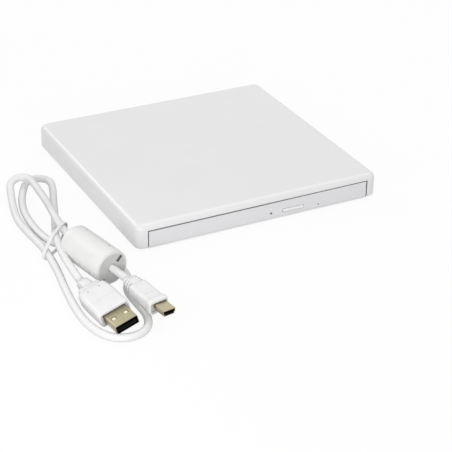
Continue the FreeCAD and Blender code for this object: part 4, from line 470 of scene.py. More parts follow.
def metal(name, shade, rough, scratch=0.2, stretch=LENGTHWISE, flakes=0.0, pits=0.003, darker_along_y=None):
    """A metal with its gloss, and the size, run and depth of its scratches in millimetres."""
    finish = Finish(name)
    shade = as_light(shade)
    lines = finish.noise(scratch, detail=3, stretch=stretch)
    flake = finish.cells(5.5)
    level = finish.node("ShaderNodeSeparateXYZ", inputs={"Vector": flake})
    stain = finish.fit(finish.noise(14, detail=4), 0.5, 0.75)
    colour = finish.mix(0.5 * stain + flakes * level, shade, dimmed(shade, 0.84))
    # Darker towards the grips, between two places on Y.
    if darker_along_y:
        kept = finish.fit(finish.along("Y") + 0.002 * (lines - 0.5), darker_along_y[0] * MM, darker_along_y[1] * MM)
        colour = finish.mix(kept, colour, dimmed(shade, 0.42))
    return finish.paint(
        Base_Color=colour,
        Metallic=1.0,
        Roughness=rough + 0.12 * (lines - 0.5) + flakes * 0.3 * (level - 0.5) + 0.06 * stain,
        Normal=finish.bump(lines, pits))


finishes |= {
    "steel_sheet": metal("zinc_sheet", (198, 199, 200), rough=0.34, scratch=0.3, flakes=0.35),
    "screw_steel": metal("screw_head", (150, 150, 152), rough=0.32, scratch=0.15, stretch=EVEN),
    "rail_steel": metal("slide_steel", (205, 205, 206), rough=0.24),
    "plug_metal": metal("plug_plate", (173, 165, 137), rough=0.32, pits=0.0015,
                        darker_along_y=(-133.5, -123.5)),
    # The spring tabs' metal is painted much lighter than the shell's, a painted highlight.
    "tab_metal": metal("spring_tab", (236, 228, 200), rough=0.25, pits=0.001),
    # The insides of the plugs' shells are their metal painted near black, a painted shade of the openings.
    "shell_inside": metal("shell_inside", (22, 20, 17), rough=0.55, pits=0.001),
    "contact_gold": metal("contact_gold", (214, 178, 96), rough=0.22, pits=0.001),
    "screw_ground": metal("screw_ground", (206, 206, 208),
                          rough=0.2, scratch=0.12, stretch=EVEN, pits=0.001),
    "traverse_steel": metal("traverse_sheet", (186, 187, 188), rough=0.36, scratch=0.3, flakes=0.2),
    "rod_steel": metal("ground_rod", (212, 212, 214), rough=0.14),
    "motor_steel": metal("motor_can", (190, 190, 192), rough=0.26),
    "rotor_steel": metal("rotor_cup", (200, 200, 202), rough=0.22, stretch=UPRIGHT),
    "pickup_cast": metal("pickup_casting", (150, 150, 152),
                         rough=0.5, scratch=0.35, stretch=EVEN, pits=0.015),
    "core_copper": metal("copper_winding", (196, 118, 72), rough=0.3, scratch=0.15, pits=0.01),
}
print(len(finishes), "finishes so far")

# %% [markdown]
# A circuit board is glass cloth under green lacquer. The copper tracks below lift the
# lacquer and show as a lighter green, and bare pads are tinned. The tracks here are the
# edges between square-ish cells, which run and turn as tracks do.

# %% Circuit boards
def board(name, lacquer, track):
    finish = Finish(name)
    edge = finish.node("ShaderNodeTexVoronoi", {"feature": "DISTANCE_TO_EDGE", "distance": "EUCLIDEAN"},
                       {"Vector": finish.spot, "Scale": 1 / (1.8 * MM), "Randomness": 0.35})
    runs = 1 - finish.fit(edge, 0.05, 0.12)
    patch = finish.fit(finish.noise(7, detail=1), 0.42, 0.5)
    cloth = finish.noise(0.5, detail=2)
    lines = runs * patch
    return finish.paint(
        Base_Color=finish.mix(lines, as_light(lacquer), as_light(track)),
        Roughness=0.34 + 0.08 * (cloth - 0.5),
        Coat_Weight=0.3,
        Normal=finish.bump(lines + 0.2 * cloth, 0.03))


finishes["board_green"] = board("board_lacquer", (22, 74, 48), (44, 112, 70))

# %% [markdown]
# The flexible film that follows the tray is a row of flat copper strips between two layers
# of plastic film, pale with darker lines. The light pipe and the lamp are clear resin with a
# milky heart, and the lens is coated glass that shows a faint violet.

# %% Film, clear resin and glass
COPPER_APART = 1.0
film = Finish("flat_film")
copper = film.fit(film.stripes("X", COPPER_APART), 0.35, 0.6)
finishes["flex_film"] = film.paint(
    Base_Color=film.mix(copper, as_light((226, 222, 210)), as_light((196, 176, 140))),
    Roughness=0.3 + 0.08 * (film.noise(3) - 0.5),
    Normal=film.bump(copper, 0.03))


def clear(name, shade, through, rough):
    finish = Finish(name)
    shade = as_light(shade)
    haze = finish.noise(0.8, detail=3)
    return finish.paint(
        Base_Color=finish.mix(haze, shade, dimmed(shade, 0.93)),
        Roughness=rough + 0.08 * (haze - 0.5),
        Normal=finish.bump(haze, 0.003),
        Transmission_Weight=through,
        IOR=1.5)


finishes["light_clear"] = clear("pipe_resin", (120, 122, 126), through=0.3, rough=0.25)
finishes["led_clear"] = clear("lamp_resin", (222, 226, 214), through=0.5, rough=0.2)
finishes["lens_glass"] = clear("coated_glass", (92, 70, 150), through=0.35, rough=0.06)
print(len(finishes), "finishes in all")

# %% [markdown]
# The measured pieces know which finish they want by the name of their slot, so one loop
# dresses all of them.

# %% Dress the measured pieces
dressed = 0
for name, thing in nodes.items():
    for holder in thing.material_slots:
        wanted = holder.material.name.split(".")[0]
        holder.material = finishes[wanted]
        dressed += 1
lead.data.materials.append(finishes["cord_plastic"])
print(dressed, "slots dressed")

# %% [markdown]
# Moulded grips, metal shells and the bead are all long forms whose cross-section changes on
# the way. They could be cut from blocks, but a skin stretched over rings gives the soft
# corners and tapers directly. Each ring is a rectangle with rounded corners, in millimetres
# in the piece's own frame: along the piece, across it and up. A circle is such a
# rectangle with corners as large as itself, so a round sleeve can grow into a flat grip.

# %% Skins over rings
CORNER_STEPS = 8


def ring(along, half_wide, half_high, corner):
    """Points of a rounded rectangle, which is a circle where the corner is as large as both halves."""
    corner = min(corner, half_wide, half_high)
    points = []
    for quarter in range(4):
        sign_y = 1 if quarter in (0, 3) else -1
        sign_z = 1 if quarter in (0, 1) else -1
        for step in range(CORNER_STEPS + 1):
            angle = math.radians(90 * (quarter + step / CORNER_STEPS))
            y = sign_y * (half_wide - corner) + corner * math.cos(angle)
            z = sign_z * (half_high - corner) + corner * math.sin(angle)
            points.append(Vector((along, y, z)))
    return points


def skin(name, rings, closed=False, sharp=35):
    """A mesh stretched over the rings. Closed joins the last ring to the first, as a tube's wall is."""
    count = len(rings[0])
    points = [point * MM for one in rings for point in one]
    faces = []
    spans = len(rings) if closed else len(rings) - 1
    for row in range(spans):
        below = row * count
        above = (row + 1) % len(rings) * count
        for k in range(count):
            after = (k + 1) % count
            faces.append((below + k, above + k, above + after, below + after))
    if not closed:
        faces.append(tuple(range(count)))
        faces.append(tuple(len(points) - 1 - k for k in range(count)))
    mesh = bpy.data.meshes.new(name)
    mesh.from_pydata(points, [], faces)
    mesh.validate()
    return smooth(mesh, sharp)


def smooth(mesh, sharp=35):
    mesh.polygons.foreach_set("use_smooth", [True] * len(mesh.polygons))
    mesh.set_sharp_from_angle(angle=math.radians(sharp))
    return mesh


# %% [markdown]
# Pits, slots and fine lines are cut out of such a skin with small blocks and pins. A Boolean
# modifier does the cut; its result is kept as the mesh and the cutters are thrown away.
# Afterwards the faces of a cut can be told by their place, and get a finish of their own, a painted shade.

# %% Cutters
def box_mesh(low, high):
    (x0, y0, z0), (x1, y1, z1) = low, high
    points = [Vector((x, y, z)) * MM for x in (x0, x1) for y in (y0, y1) for z in (z0, z1)]
    faces = [(0, 1, 3, 2), (4, 6, 7, 5), (0, 4, 5, 1), (2, 3, 7, 6), (0, 2, 6, 4), (1, 5, 7, 3)]
    mesh = bpy.data.meshes.new("cutter")
    mesh.from_pydata(points, [], faces)
    return mesh


def pin_mesh(foot, radius, long, turn=0.0, sides=20):
    """A pin that stands on a foot point, along up turned about the long axis of the piece."""
    lean = Matrix.Rotation(math.radians(turn), 4, "X")
    rings = []
    for up in (0, long):
        rings.append([Vector((radius * math.cos(2 * math.pi * k / sides),
                              radius * math.sin(2 * math.pi * k / sides), up)) for k in range(sides)])
    points = [(Vector(foot) + lean @ point) * MM for one in rings for point in one]
    faces = [(k, (k + 1) % sides, sides + (k + 1) % sides, sides + k) for k in range(sides)]
    faces += [tuple(range(sides - 1, -1, -1)), tuple(range(sides, 2 * sides))]
    mesh = bpy.data.meshes.new("cutter")
    mesh.from_pydata(points, [], faces)
    return mesh


def carve(mesh, cutters, sharp=35):
    """The mesh less the cutters."""
    block = bpy.data.objects.new("block", mesh)
    tools = [bpy.data.objects.new("tool", cutter) for cutter in cutters]
    for thing in (block, *tools):
        bpy.context.scene.collection.objects.link(thing)
    for tool in tools:
        cut = block.modifiers.new("cut", "BOOLEAN")
        cut.operation = "DIFFERENCE"
        cut.solver = "EXACT"
        cut.object = tool
    bpy.context.view_layer.update()
    made = bpy.data.meshes.new_from_object(block.evaluated_get(bpy.context.evaluated_depsgraph_get()))
    for thing in (block, *tools):
        bpy.data.objects.remove(thing)
    return smooth(made, sharp)


def shade_faces(mesh, finish_names, tests):
    """Gives each finish that has a test to the faces whose middle passes it, one after another."""
    for wanted, test in tests.items():
        for face in mesh.polygons:
            if test(face.center / MM):
                face.material_index = finish_names.index(wanted)


# %% [markdown]
# The last steps are the same for every mesh. It moves to its place, gets its finishes, and
# is hung on the body of the measured model that carries it. The measured pieces that it
# stands for, if any, are hidden.

# %% Placing a piece
def add_piece(name, mesh, body, finish_names, place=None, stands_for=()):
    """Puts a finished mesh in the scene, on its body, in its finishes."""
    if place is not None:
        mesh.transform(place)
    for finish_name in finish_names:
        mesh.materials.append(finishes[finish_name])
    mesh.name = name
    thing = bpy.data.objects.new(name, mesh)
    bpy.context.scene.collection.objects.link(thing)
    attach(thing, body)
    if stands_for:
        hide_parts(*stands_for)
    print(name, len(mesh.polygons), "faces")
    return thing


def lie(x, y, z, heading, nose_up=0.0, roll=0.0):
    """The place of a piece that is drawn along X: its start, then its turns in degrees."""
    return (Matrix.Translation(Vector((x, y, z)) * MM) @ Matrix.Rotation(math.radians(heading), 4, "Z")
            @ Matrix.Rotation(math.radians(-nose_up), 4, "Y") @ Matrix.Rotation(math.radians(roll), 4, "X"))


# %% [markdown]
# The bead is a ferrite sleeve with vinyl moulded over it. Its front end is flat with a
# rounded rim, and its bore is a little wider at both mouths. The wall is one closed skin:
# along the outside, round the rim and back through the bore.

# %% The bead
BEAD_LONG = 33.0
BEAD_RADIUS = 9.1
BEAD_BORE = 2.12
BEAD_PLACE = lie(-101.8, -59.6, 9.1, -78.4)
RIM_ROUND = 1.5
MOUTH_WIDER = 0.3
MOUTH_DEEP = 0.4


def round_ring(along, radius):
    return ring(along, radius, radius, radius)


rim = []
for angle in (90, 72, 54, 36, 18, 0):
    lean = math.radians(angle)
    rim.append((RIM_ROUND * (1 - math.sin(lean)), BEAD_RADIUS - RIM_ROUND * (1 - math.cos(lean))))
outer = [round_ring(back, radius) for back, radius in rim]
waist = [round_ring(BEAD_LONG * share, BEAD_RADIUS) for share in (0.25, 0.5, 0.75)]
front = [round_ring(BEAD_LONG - back, radius) for back, radius in reversed(rim)]
bore = [round_ring(BEAD_LONG, BEAD_BORE + MOUTH_WIDER), round_ring(BEAD_LONG - MOUTH_DEEP, BEAD_BORE),
        round_ring(BEAD_LONG / 2, BEAD_BORE), round_ring(MOUTH_DEEP, BEAD_BORE),
        round_ring(0, BEAD_BORE + MOUTH_WIDER)]
bead_skin = skin("bead", outer + waist + front + bore, closed=True)
print(len(outer + waist + front + bore), "rings")

# %% [markdown]
# Two radial slots in the front end and four small pits in the side mark where pins held the
# ferrite in the mould. Their faces get darker colours, a painted shade of the slots and pits,
# and the flat end and its rim get greyer ones than the side, a painted shade of the end.

# %% Slots and pits of the bead
BEAD_FINISHES = ("bead_vinyl", "bead_end_shade", "deep_shade", "recess_shade", "bead_rim_shade")
BEAD_SLOTS = ((4.0, 7.6, 0.85), (-8.0, -6.6, 0.6))
SLOT_TURN = Matrix.Rotation(math.radians(45), 4, "X")
SLOT_DEEP = 0.9
PIT_SHARES = (0.2, 0.79)
PIT_TURNS = (-22, 108)
PIT_RADIUS = 0.45
PIT_DEEP = 0.9
PIN_LONG = 3

slots = []
for near, far, half in BEAD_SLOTS:
    slot = box_mesh((BEAD_LONG - SLOT_DEEP, near, -half), (BEAD_LONG + 1, far, half))
    slot.transform(SLOT_TURN)
    slots.append(slot)
pits = []
for share in PIT_SHARES:
    for turn in PIT_TURNS:
        outward = Matrix.Rotation(math.radians(turn), 4, "X") @ Vector((0, 0, 1))
        pits.append((Vector((BEAD_LONG * share, 0, 0)) + outward * (BEAD_RADIUS - PIT_DEEP), turn))
bead_mesh = carve(bead_skin, slots + [pin_mesh(foot, PIT_RADIUS, PIN_LONG, turn) for foot, turn in pits])


def in_bead_slot(spot):
    across = SLOT_TURN.inverted() @ Vector(spot)
    return (BEAD_LONG - 1.0 < spot.x < BEAD_LONG - 0.05 and abs(across.z) < 0.9
            and any(near - 0.1 < across.y < far + 0.1 for near, far, half in BEAD_SLOTS)
            and math.hypot(spot.y, spot.z) < BEAD_RADIUS - 0.3)


def in_bead_pit(spot):
    return any((Vector(spot) - foot).length < 0.8 for foot, turn in pits)


# The rim and the flat end get greyer painted shades, and the faces of the slots and pits darker ones.
shade_faces(bead_mesh, BEAD_FINISHES, {
    "bead_rim_shade": lambda spot: spot.x > BEAD_LONG - 0.6,
    "bead_end_shade": lambda spot: spot.x > BEAD_LONG - 0.03,
    "deep_shade": in_bead_slot,
    "recess_shade": in_bead_pit,
})
bead = add_piece("bead_sleeve", bead_mesh, "housing", BEAD_FINISHES,
                 BEAD_PLACE, ["ferrite_bead"])

# %% [markdown]
# A strain relief is a tapered sleeve that has to bend, so it is slotted from both sides,
# and only a spine along its middle joins its ribs. The sleeve is drawn as rings, and the
# slots are cut with pairs of thin blocks that stop short of the lead inside.

# %% Strain reliefs
NECK = 2.45
NECK_SHARE = 0.24
SPINE = 2.25
SLOT = 0.8
PAST_SIDE = 7
PAST_TOP = 5


def relief(long, wide, high, corner):
    """Rings of a plain sleeve: a short round neck that grows into the sleeve."""
    return [ring(0, NECK - 0.3, NECK - 0.3, NECK), ring(0.3, NECK, NECK, NECK),
            ring(long * 0.2, NECK + 0.2, NECK + 0.2, NECK),
            ring(long * NECK_SHARE, wide * 0.84, high * 0.9, corner),
            ring(long * 0.6, wide * 0.92, high * 0.95, corner),
            ring(long - 0.05, wide, high, corner)]


def relief_slots(long, count):
    """The blocks that cut the slots, and a test of whether a spot lies in one of them."""
    pitch = long * (1 - NECK_SHARE) / count
    starts = [long * NECK_SHARE + (k + 0.55) * pitch for k in range(count)]
    blocks = [box_mesh((x, near, -PAST_TOP), (x + SLOT, far, PAST_TOP))
              for x in starts for near, far in ((SPINE, PAST_SIDE), (-PAST_SIDE, -SPINE))]

    def in_slot(spot):
        beside = abs(spot.y) > SPINE - 0.05
        return beside and any(x - 0.02 < spot.x < x + SLOT + 0.02 for x in starts)

    return blocks, in_slot


def rounded_end(along, half_wide, half_high, corner, edge, back=False):
    """Rings that round the edge of a grip's end, towards the front or towards the back."""
    rings = []
    for angle in (0, 30, 60, 90):
        turn = math.radians(angle)
        inset = edge * (1 - math.cos(turn))
        ahead = edge * math.sin(turn)
        rings.append(ring(along + (-ahead if back else ahead) + (edge if back else -edge),
                          half_wide - inset, half_high - inset, corner))
    return rings[::-1] if back else rings


# %% [markdown]
# The large plug's grip widens in two steps, at its collar and at its shoulder. Its top has
# a fine line across and two pin marks, and the metal shell goes into a seat in its front.
# The plug leans over on its side, as it lies on the table.

# %% The large plug's grip
RELIEF_A = 9.0
SHOULDER = 12.6
GRIP_A_END = 35.5
GRIP_A_SECTION = (8.1, 4.1, 2.0)
SEAT_A = (6.2, 2.45)
SEAT_DEEP = 0.6
MARK_X, MARK_Y, MARK_Z = 15.8, 3.1, 3.6
PLUG_A = lie(-111.0, -90.5, 4.9, -86.0, 2.4, 16.0)
GRIP_A_FINISHES = ("grip_vinyl", "recess_shade", "deep_shade", "slot_faint_shade")

grip_a = skin("grip_a", relief(RELIEF_A, 3.9, 3.2, 2.6)
              + rounded_end(RELIEF_A, 5.9, 3.3, 1.8, 0.5, back=True)
              + [ring(SHOULDER - 0.1, 6.3, 3.6, 1.8)]
              + rounded_end(SHOULDER, 7.7, 4.0, 2.0, 0.8, back=True)
              + [ring(19, *GRIP_A_SECTION), ring(28, *GRIP_A_SECTION)]
              + rounded_end(GRIP_A_END, *GRIP_A_SECTION, 0.8))
slots_a, in_slot_a = relief_slots(RELIEF_A, 3)
marks_a = [pin_mesh((MARK_X, side * MARK_Y, MARK_Z), 0.36, 2) for side in (1, -1)]
line_a = box_mesh((25.4, -5.9, 3.95), (25.65, 5.9, 6))
seat_a = box_mesh((GRIP_A_END - SEAT_DEEP, -SEAT_A[0], -SEAT_A[1]), (GRIP_A_END + 1, *SEAT_A))
grip_a_mesh = carve(grip_a, [*slots_a, *marks_a, line_a, seat_a])


def in_seat_a(spot):
    return spot.x > GRIP_A_END - 0.7 and abs(spot.y) < SEAT_A[0] + 0.05 and abs(spot.z) < SEAT_A[1] + 0.05


def in_mark_a(spot):
    return abs(spot.x - MARK_X) < 0.5 and 3.5 < spot.z < 3.95 and abs(abs(spot.y) - MARK_Y) < 0.5


# The slots, the seat and the pin marks get painted shades, the seat and the marks darker ones.
shade_faces(grip_a_mesh, GRIP_A_FINISHES,
            {"slot_faint_shade": in_slot_a, "recess_shade": in_seat_a, "deep_shade": in_mark_a})
grip_a_piece = add_piece("large_grip", grip_a_mesh, "housing", GRIP_A_FINISHES,
                         PLUG_A, ["usb_a_overmould"])

# %% [markdown]
# The small plug's grip is one straight block that ends in a raised collar. Its top has a
# shallow sunk field and a fine line, and its metal comes out of a seat in its front.

# %% The small plug's grip
RELIEF_B = 8.5
COLLAR = 24.0
GRIP_B_END = 27.0
GRIP_B_SECTION = (4.8, 3.3, 1.6)
COLLAR_SECTION = (5.3, 3.8, 1.6)
PLUG_B = lie(-92.7, -104.3, 9.0, -81.0, -2.5, 4.0)
GRIP_B_FINISHES = ("grip_vinyl", "recess_shade", "slot_faint_shade")

grip_b = skin("grip_b", relief(RELIEF_B, 4.6, 3.1, 2.2)
              + rounded_end(RELIEF_B, *GRIP_B_SECTION, 0.4, back=True)
              + [ring(16, *GRIP_B_SECTION), ring(COLLAR - 0.1, *GRIP_B_SECTION)]
              + rounded_end(COLLAR, *COLLAR_SECTION, 0.3, back=True)
              + rounded_end(GRIP_B_END, *COLLAR_SECTION, 0.7))
slots_b, in_slot_b = relief_slots(RELIEF_B, 3)
line_b = box_mesh((19.0, -2.4, 3.15), (19.3, 2.4, 5))
field_b = box_mesh((10.6, -2.9, 3.12), (16.6, 2.9, 5))
seat_b = box_mesh((GRIP_B_END - SEAT_DEEP, -3.9, -2.0), (GRIP_B_END + 1, 3.9, 2.5))
grip_b_mesh = carve(grip_b, [*slots_b, line_b, field_b, seat_b])


def in_seat_b(spot):
    return spot.x > GRIP_B_END - 0.7 and abs(spot.y) < 3.95 and -2.05 < spot.z < 2.55


# The slots and the seat get painted shades.
shade_faces(grip_b_mesh, GRIP_B_FINISHES, {"slot_faint_shade": in_slot_b, "recess_shade": in_seat_b})
grip_b_piece = add_piece("small_grip", grip_b_mesh, "housing", GRIP_B_FINISHES,
                         PLUG_B, ["mini_b_overmould"])

# %% [markdown]
# The large plug's shell is thin sheet folded round a block of plastic. A seam on top shows
# where the sheet's two edges meet. There are two windows above and two below.

# %% The large plug's shell
SHELL_A_START = GRIP_A_END - 1.5
SHELL_A_END = 47.5
SHELL_HALF = 6.0
SHELL_UP = 2.25
SHEET = 0.3
WINDOW_START, WINDOW_END, WINDOW_WIDE = 40.1, 42.3, 2.4
SHELL_FINISHES = ("plug_metal", "shell_inside")


def shell_ring(along, inset):
    return ring(along, SHELL_HALF - inset, SHELL_UP - inset, max(0.7 - inset, 0.3))


shell_a = skin("shell_a", [shell_ring(SHELL_A_START, 0), shell_ring(SHELL_A_END - 0.15, 0),
                           shell_ring(SHELL_A_END, 0.12), shell_ring(SHELL_A_END, SHEET - 0.05),
                           shell_ring(SHELL_A_END - 0.1, SHEET), shell_ring(SHELL_A_START, SHEET)],
               closed=True)
windows = [box_mesh((WINDOW_START, side, low), (WINDOW_END, side + WINDOW_WIDE, low + 3))
           for side in (2.0, -4.4) for low in (1.0, -4.0)]
seam = box_mesh((GRIP_A_END - 1, -0.06, SHELL_UP - 0.12), (SHELL_A_END + 1, 0.06, SHELL_UP + 1))
shell_mesh = carve(shell_a, [*windows, seam])


def in_shell(spot):
    return (abs(spot.y) < SHELL_HALF - SHEET + 0.04 and abs(spot.z) < SHELL_UP - SHEET + 0.04
            and spot.x < SHELL_A_END - 0.05)


# The faces inside the shell get the near-black painted shade.
shade_faces(shell_mesh, SHELL_FINISHES, {"shell_inside": in_shell})
shell_piece = add_piece("large_shell", shell_mesh, "housing", SHELL_FINISHES,
                        PLUG_A, ["usb_a_shell"])

# %% [markdown]
# The two windows on top hold spring tabs that lean inwards. Their metal is the shell's painted
# much lighter, a painted highlight. Each tab is a short skin of three rings, and both are
# joined into one mesh.

# %% Spring tabs
TAB_START, TAB_LONG = 40.35, 1.75
TAB_DROPS = (0.0, 0.08, 0.34)


def spring_tab(y):
    """A tab cut free on three sides and bent into the window."""
    rings = [ring(TAB_START + TAB_LONG * step, 0.95, 0.1, 0.1) for step in (0, 0.5, 1)]
    for drop, one in zip(TAB_DROPS, rings):
        for point in one:
            point.y += y
            point.z += SHELL_UP - 0.18 - drop
    return skin("tab", rings)


def joined(name, meshes):
    """Several meshes as one."""
    points, faces = [], []
    for mesh in meshes:
        base = len(points)
        points += [vertex.co.copy() for vertex in mesh.vertices]
        faces += [tuple(base + k for k in face.vertices) for face in mesh.polygons]
    mesh = bpy.data.meshes.new(name)
    mesh.from_pydata(points, [], faces)
    return smooth(mesh)


tabs = add_piece("large_tabs", joined("tabs", [spring_tab(y) for y in (3.2, -3.2)]), "housing",
                 ["tab_metal"], PLUG_A)

# %% [markdown]
# Deep in each plug's opening gold contacts lie on a plastic tongue, four in the large plug
# and five finer ones in the small plug. Their tips dip, so that nothing catches them.

# %% Tongue and contacts
TIP_RUN = 1.2
TIP_DROP = 0.35


def tongue(name, start, end, half_wide, low, high):
    rings = []
    for along, inset in ((start, 0), (end - 0.3, 0), (end, 0.25)):
        one = ring(along, half_wide - inset, (high - low) / 2 - inset, 0.4)
        for point in one:
            point.z += (low + high) / 2
        rings.append(one)
    return skin(name, rings)


tongue_a = add_piece("large_tongue", tongue("tongue", GRIP_A_END, SHELL_A_END - 0.6, 5.6, -1.85, 0.0),
                     "housing", ["contact_plastic"], PLUG_A, ["usb_a_insert"])


def contact(start, end, y, z, half_wide):
    """A flat spring contact whose tip dips into the plastic."""
    rings = []
    for along, drop in ((start, 0), (end - TIP_RUN, 0), (end - 0.4, 0.05), (end, TIP_DROP)):
        one = ring(along, half_wide, 0.09, 0.09)
        for point in one:
            point.y += y
            point.z += z - drop
        rings.append(one)
    return skin("contact", rings)


gold_a = joined("contacts", [contact(36, 45.7, y, 0.06, 0.5) for y in (-4, -1.3, 1.3, 4)])
contacts_a = add_piece("large_contacts", gold_a, "housing", ["contact_gold"], PLUG_A)
gold_b = joined("contacts", [contact(27.5, 33.4, y, -0.38, 0.16) for y in (-1.6, -0.8, 0, 0.8, 1.6)])
contacts_b = add_piece("small_contacts", gold_b, "housing", ["contact_gold"], PLUG_B)

# %% [markdown]
# The front has a narrow gap round it. A black strip behind the gap is a painted shade
# that makes the gap read as a fine dark line. Below, a pale sill closes the gap, so
# there is no line there. Both belong to the tray and come out with it.

# %% Gap shade strip and sill
FRONT_Y = -68.75
BEZEL_X = 65.05
BEZEL_TOP = 10.4
SHADE_STRIP_X = BEZEL_X + 0.02
SHADE_STRIP_TOP = BEZEL_TOP + 0.02
SHADE_STRIP_FOOT = 1.9
SHADE_STRIP_WIDE = 0.4
SHADE_STRIP_CORNER = 0.5
SILL_Z = 1.34
SILL_WIDE = 0.42


def strip(name, path, wide, deep, back):
    """A flat strip that stands on edge along a path of (x, z) points, between two depths."""
    points = []
    for index, (x, z) in enumerate(path):
        before = Vector(path[max(index - 1, 0)])
        after = Vector(path[min(index + 1, len(path) - 1)])
        run = (after - before).normalized()
        out = Vector((-run.y, run.x)) * wide
        for y, share in ((deep + 0.1, 0), (deep, 0.25), (deep, 0.75), (deep + 0.1, 1), (back, 1), (back, 0)):
            points.append((Vector((x + out.x * share, y, z + out.y * share))) * MM)
    count = 6
    faces = []
    for row in range(len(path) - 1):
        for k in range(count):
            a, b = row * count + k, row * count + (k + 1) % count
            faces.append((a, b, b + count, a + count))
    faces += [tuple(range(count - 1, -1, -1)), tuple(range(len(points) - count, len(points)))]
    mesh = bpy.data.meshes.new(name)
    mesh.from_pydata(points, [], faces)
    return smooth(mesh)


def corner_points(x, z, radius, start):
    return [(x + radius * math.cos(math.radians(start + 22.5 * k)),
             z + radius * math.sin(math.radians(start + 22.5 * k))) for k in range(5)]


shade_strip_path = [(SHADE_STRIP_X, SHADE_STRIP_FOOT), (SHADE_STRIP_X, 6.0)]
shade_strip_path += corner_points(SHADE_STRIP_X - SHADE_STRIP_CORNER, SHADE_STRIP_TOP - SHADE_STRIP_CORNER, SHADE_STRIP_CORNER, 0)
shade_strip_path += [(x, SHADE_STRIP_TOP) for x in (40, 0, -40)]
shade_strip_path += corner_points(-SHADE_STRIP_X + SHADE_STRIP_CORNER, SHADE_STRIP_TOP - SHADE_STRIP_CORNER, SHADE_STRIP_CORNER, 90)
shade_strip_path += [(-SHADE_STRIP_X, 6.0), (-SHADE_STRIP_X, SHADE_STRIP_FOOT)]
# The strip's black is a painted shade of the gap.
add_piece("gap_shade_strip", strip("felt", shade_strip_path[::-1], SHADE_STRIP_WIDE, FRONT_Y + 0.02, FRONT_Y + 2.4),
          "tray_unit", ["felt_black"])
sill_path = [(x, SILL_Z) for x in (-BEZEL_X + 0.3, -30, 30, BEZEL_X - 0.3)]
add_piece("front_sill", strip("sill", sill_path, SILL_WIDE, FRONT_Y + 0.08, FRONT_Y + 2.6),
          "tray_unit", ["bezel_plastic"])

# %% [markdown]
# The lead screw moves the pickup. A measured model keeps it a plain rod; here it gets its
# groove, which goes once round the rod in three millimetres. Rings of points along the
# rod are drawn in where the groove passes, and the place shifts a little from ring to ring.

# %% Lead screw
SCREW_X, SCREW_Z = 24.0, 5.4
SCREW_Y0, SCREW_Y1 = -61.6, -9.05
SCREW_RADIUS = 1.0
PITCH = 3.0
RINGS_A_TURN = 14
AROUND = 20
GROOVE_DEEP = 0.32
GROOVE_HALF = 0.42
PLAIN_END = 1.6


def screw_rings():
    rings = []
    steps = int((SCREW_Y1 - SCREW_Y0) / PITCH * RINGS_A_TURN)
    for step in range(steps + 1):
        y = SCREW_Y0 + (SCREW_Y1 - SCREW_Y0) * step / steps
        plain = min(y - SCREW_Y0, SCREW_Y1 - y) < PLAIN_END
        one = []
        for k in range(AROUND):
            phase = ((y / PITCH + k / AROUND) % 1.0 - 0.5) * 2
            groove = 0.0 if plain else max(0.0, 1 - (phase / GROOVE_HALF) ** 2)
            radius = SCREW_RADIUS - GROOVE_DEEP * groove
            angle = 2 * math.pi * k / AROUND
            one.append(Vector((SCREW_X + radius * math.cos(angle), y, SCREW_Z + radius * math.sin(angle))))
        rings.append(one)
    return rings


add_piece("lead_screw_thread", skin("thread", screw_rings(), sharp=50), "lead_screw",
          ["screw_ground"], None, ["lead_screw"])

# %% [markdown]

# %% [markdown]
# The drive stands on a white sweep, as in a studio. The sweep is a real surface that takes
# a soft shadow, with most of its brightness given out evenly, so that the picture's ground
# is white without more light on the drive. Metal and glass see the same white, and the
# light that bounces up to the drive comes from a plain grey. From below the sweep is clear,
# so that the feet can be looked at. It lies a tenth of a millimetre below the ground, so
# that the feet don't share its plane.

# %% Floor
FLOOR_HALF = 3.0
FLOOR_Z = -0.0001
SWEEP_WHITE = (0.97, 0.97, 0.97, 1)
BOUNCE_GREY = (0.64, 0.64, 0.64, 1)
FULL_WHITE = (1, 1, 1, 1)
GLOW_SHARE = 0.92

floor_mesh = bpy.data.meshes.new("floor")
floor_mesh.from_pydata([(-FLOOR_HALF, -FLOOR_HALF, 0), (FLOOR_HALF, -FLOOR_HALF, 0),
                        (FLOOR_HALF, FLOOR_HALF, 0), (-FLOOR_HALF, FLOOR_HALF, 0)], [], [(0, 1, 2, 3)])
floor = bpy.data.objects.new("floor", floor_mesh)
floor.location.z = FLOOR_Z
bpy.context.scene.collection.objects.link(floor)

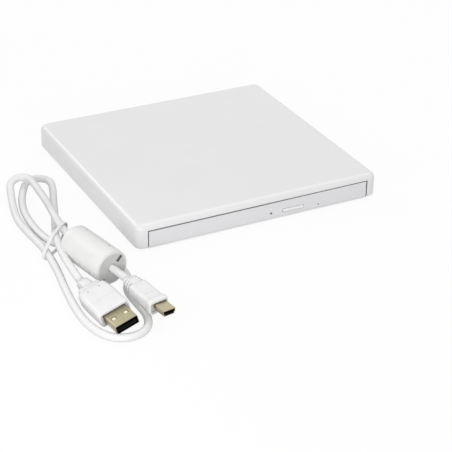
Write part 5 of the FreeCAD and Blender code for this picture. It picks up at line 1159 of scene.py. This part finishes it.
sweep = Finish("sweep")
sweep.paint(Base_Color=SWEEP_WHITE, Roughness=0.9, Specular_IOR_Level=0.0)
glow = sweep.node("ShaderNodeEmission", inputs={"Color": FULL_WHITE, "Strength": 1.0})
white = Wire(sweep, sweep.shader.outputs[0])
seen = sweep.node("ShaderNodeMixShader", inputs={0: GLOW_SHARE, 1: white, 2: glow})
greyer = sweep.node("ShaderNodeBsdfDiffuse", inputs={"Color": BOUNCE_GREY})
lit = sweep.node("ShaderNodeMixShader", inputs={0: sweep.seen_directly(), 1: greyer, 2: seen})
under = sweep.node("ShaderNodeNewGeometry", output="Backfacing")
clear_below = sweep.node("ShaderNodeBsdfTransparent")
both = sweep.node("ShaderNodeMixShader", inputs={0: under, 1: lit, 2: clear_below})
sweep.feed(sweep.tree.nodes["Material Output"].inputs["Surface"], both)
floor_mesh.materials.append(sweep.material)
print("floor", 2 * FLOOR_HALF, "m wide")

# %% [markdown]
# The sky is the studio's white room. It is full white to the lens, and a gentler even
# light to the surfaces, so the lamps still have shape to give.

# %% Sky
AMBIENT = 0.52
room = bpy.data.worlds.new("studio")
bpy.context.scene.world = room
sky = Tree(room)
backdrop = room.node_tree.nodes["Background"]
sky.feed(backdrop.inputs["Color"], FULL_WHITE)
sky.feed(backdrop.inputs["Strength"], AMBIENT + (1 - AMBIENT) * sky.seen_directly())
print("ambient", AMBIENT)

# %% [markdown]
# Four soft lamps do what large paper screens do in a product studio. The first hangs above
# and lights the top. The second is small and stands low at the left: it fades along the
# side, so the far end is greyer. The third stands in front and lights the tray's front. The
# fourth stands behind on the left, where the rounded left edge mirrors it as a bright line.

# %% Lamps
# place, target, width, depth and power of each
LAMPS = {
    "upper_lamp": ((0.40, 0.22, 0.90), (0, 0, 0), 0.8, 0.8, 2.75),
    "side_lamp": ((-0.36, -0.20, 0.14), (-0.07, -0.05, 0), 0.14, 0.10, 0.24),
    "front_lamp": ((-0.28, -0.90, 0.24), (0, -0.07, 0), 0.40, 0.25, 2.5),
    "edge_lamp": ((-0.50, 0.96, 0.66), (-0.07, 0, 0.01), 0.60, 0.30, 1.9),
}


def soft_lamp(name, place, target, wide, deep, power):
    """A lamp like a lit screen, in metres and watts, that the camera doesn't see."""
    data = bpy.data.lights.new(name, "AREA")
    data.shape = "RECTANGLE"
    data.size = wide
    data.size_y = deep
    data.energy = power
    lamp = bpy.data.objects.new(name, data)
    lamp.location = place
    lamp.rotation_euler = (Vector(target) - Vector(place)).to_track_quat("-Z", "Y").to_euler()
    bpy.context.scene.collection.objects.link(lamp)
    lamp.visible_camera = False


for name, facts in LAMPS.items():
    soft_lamp(name, *facts)
    print(name, facts[-1], "W")

# %% [markdown]
# Blender's usual view rolls bright tones off, as film does. The standard view shows a
# colour as it is written, which suits a white object on a white ground.

# %% View settings
bpy.context.scene.view_settings.view_transform = "Standard"
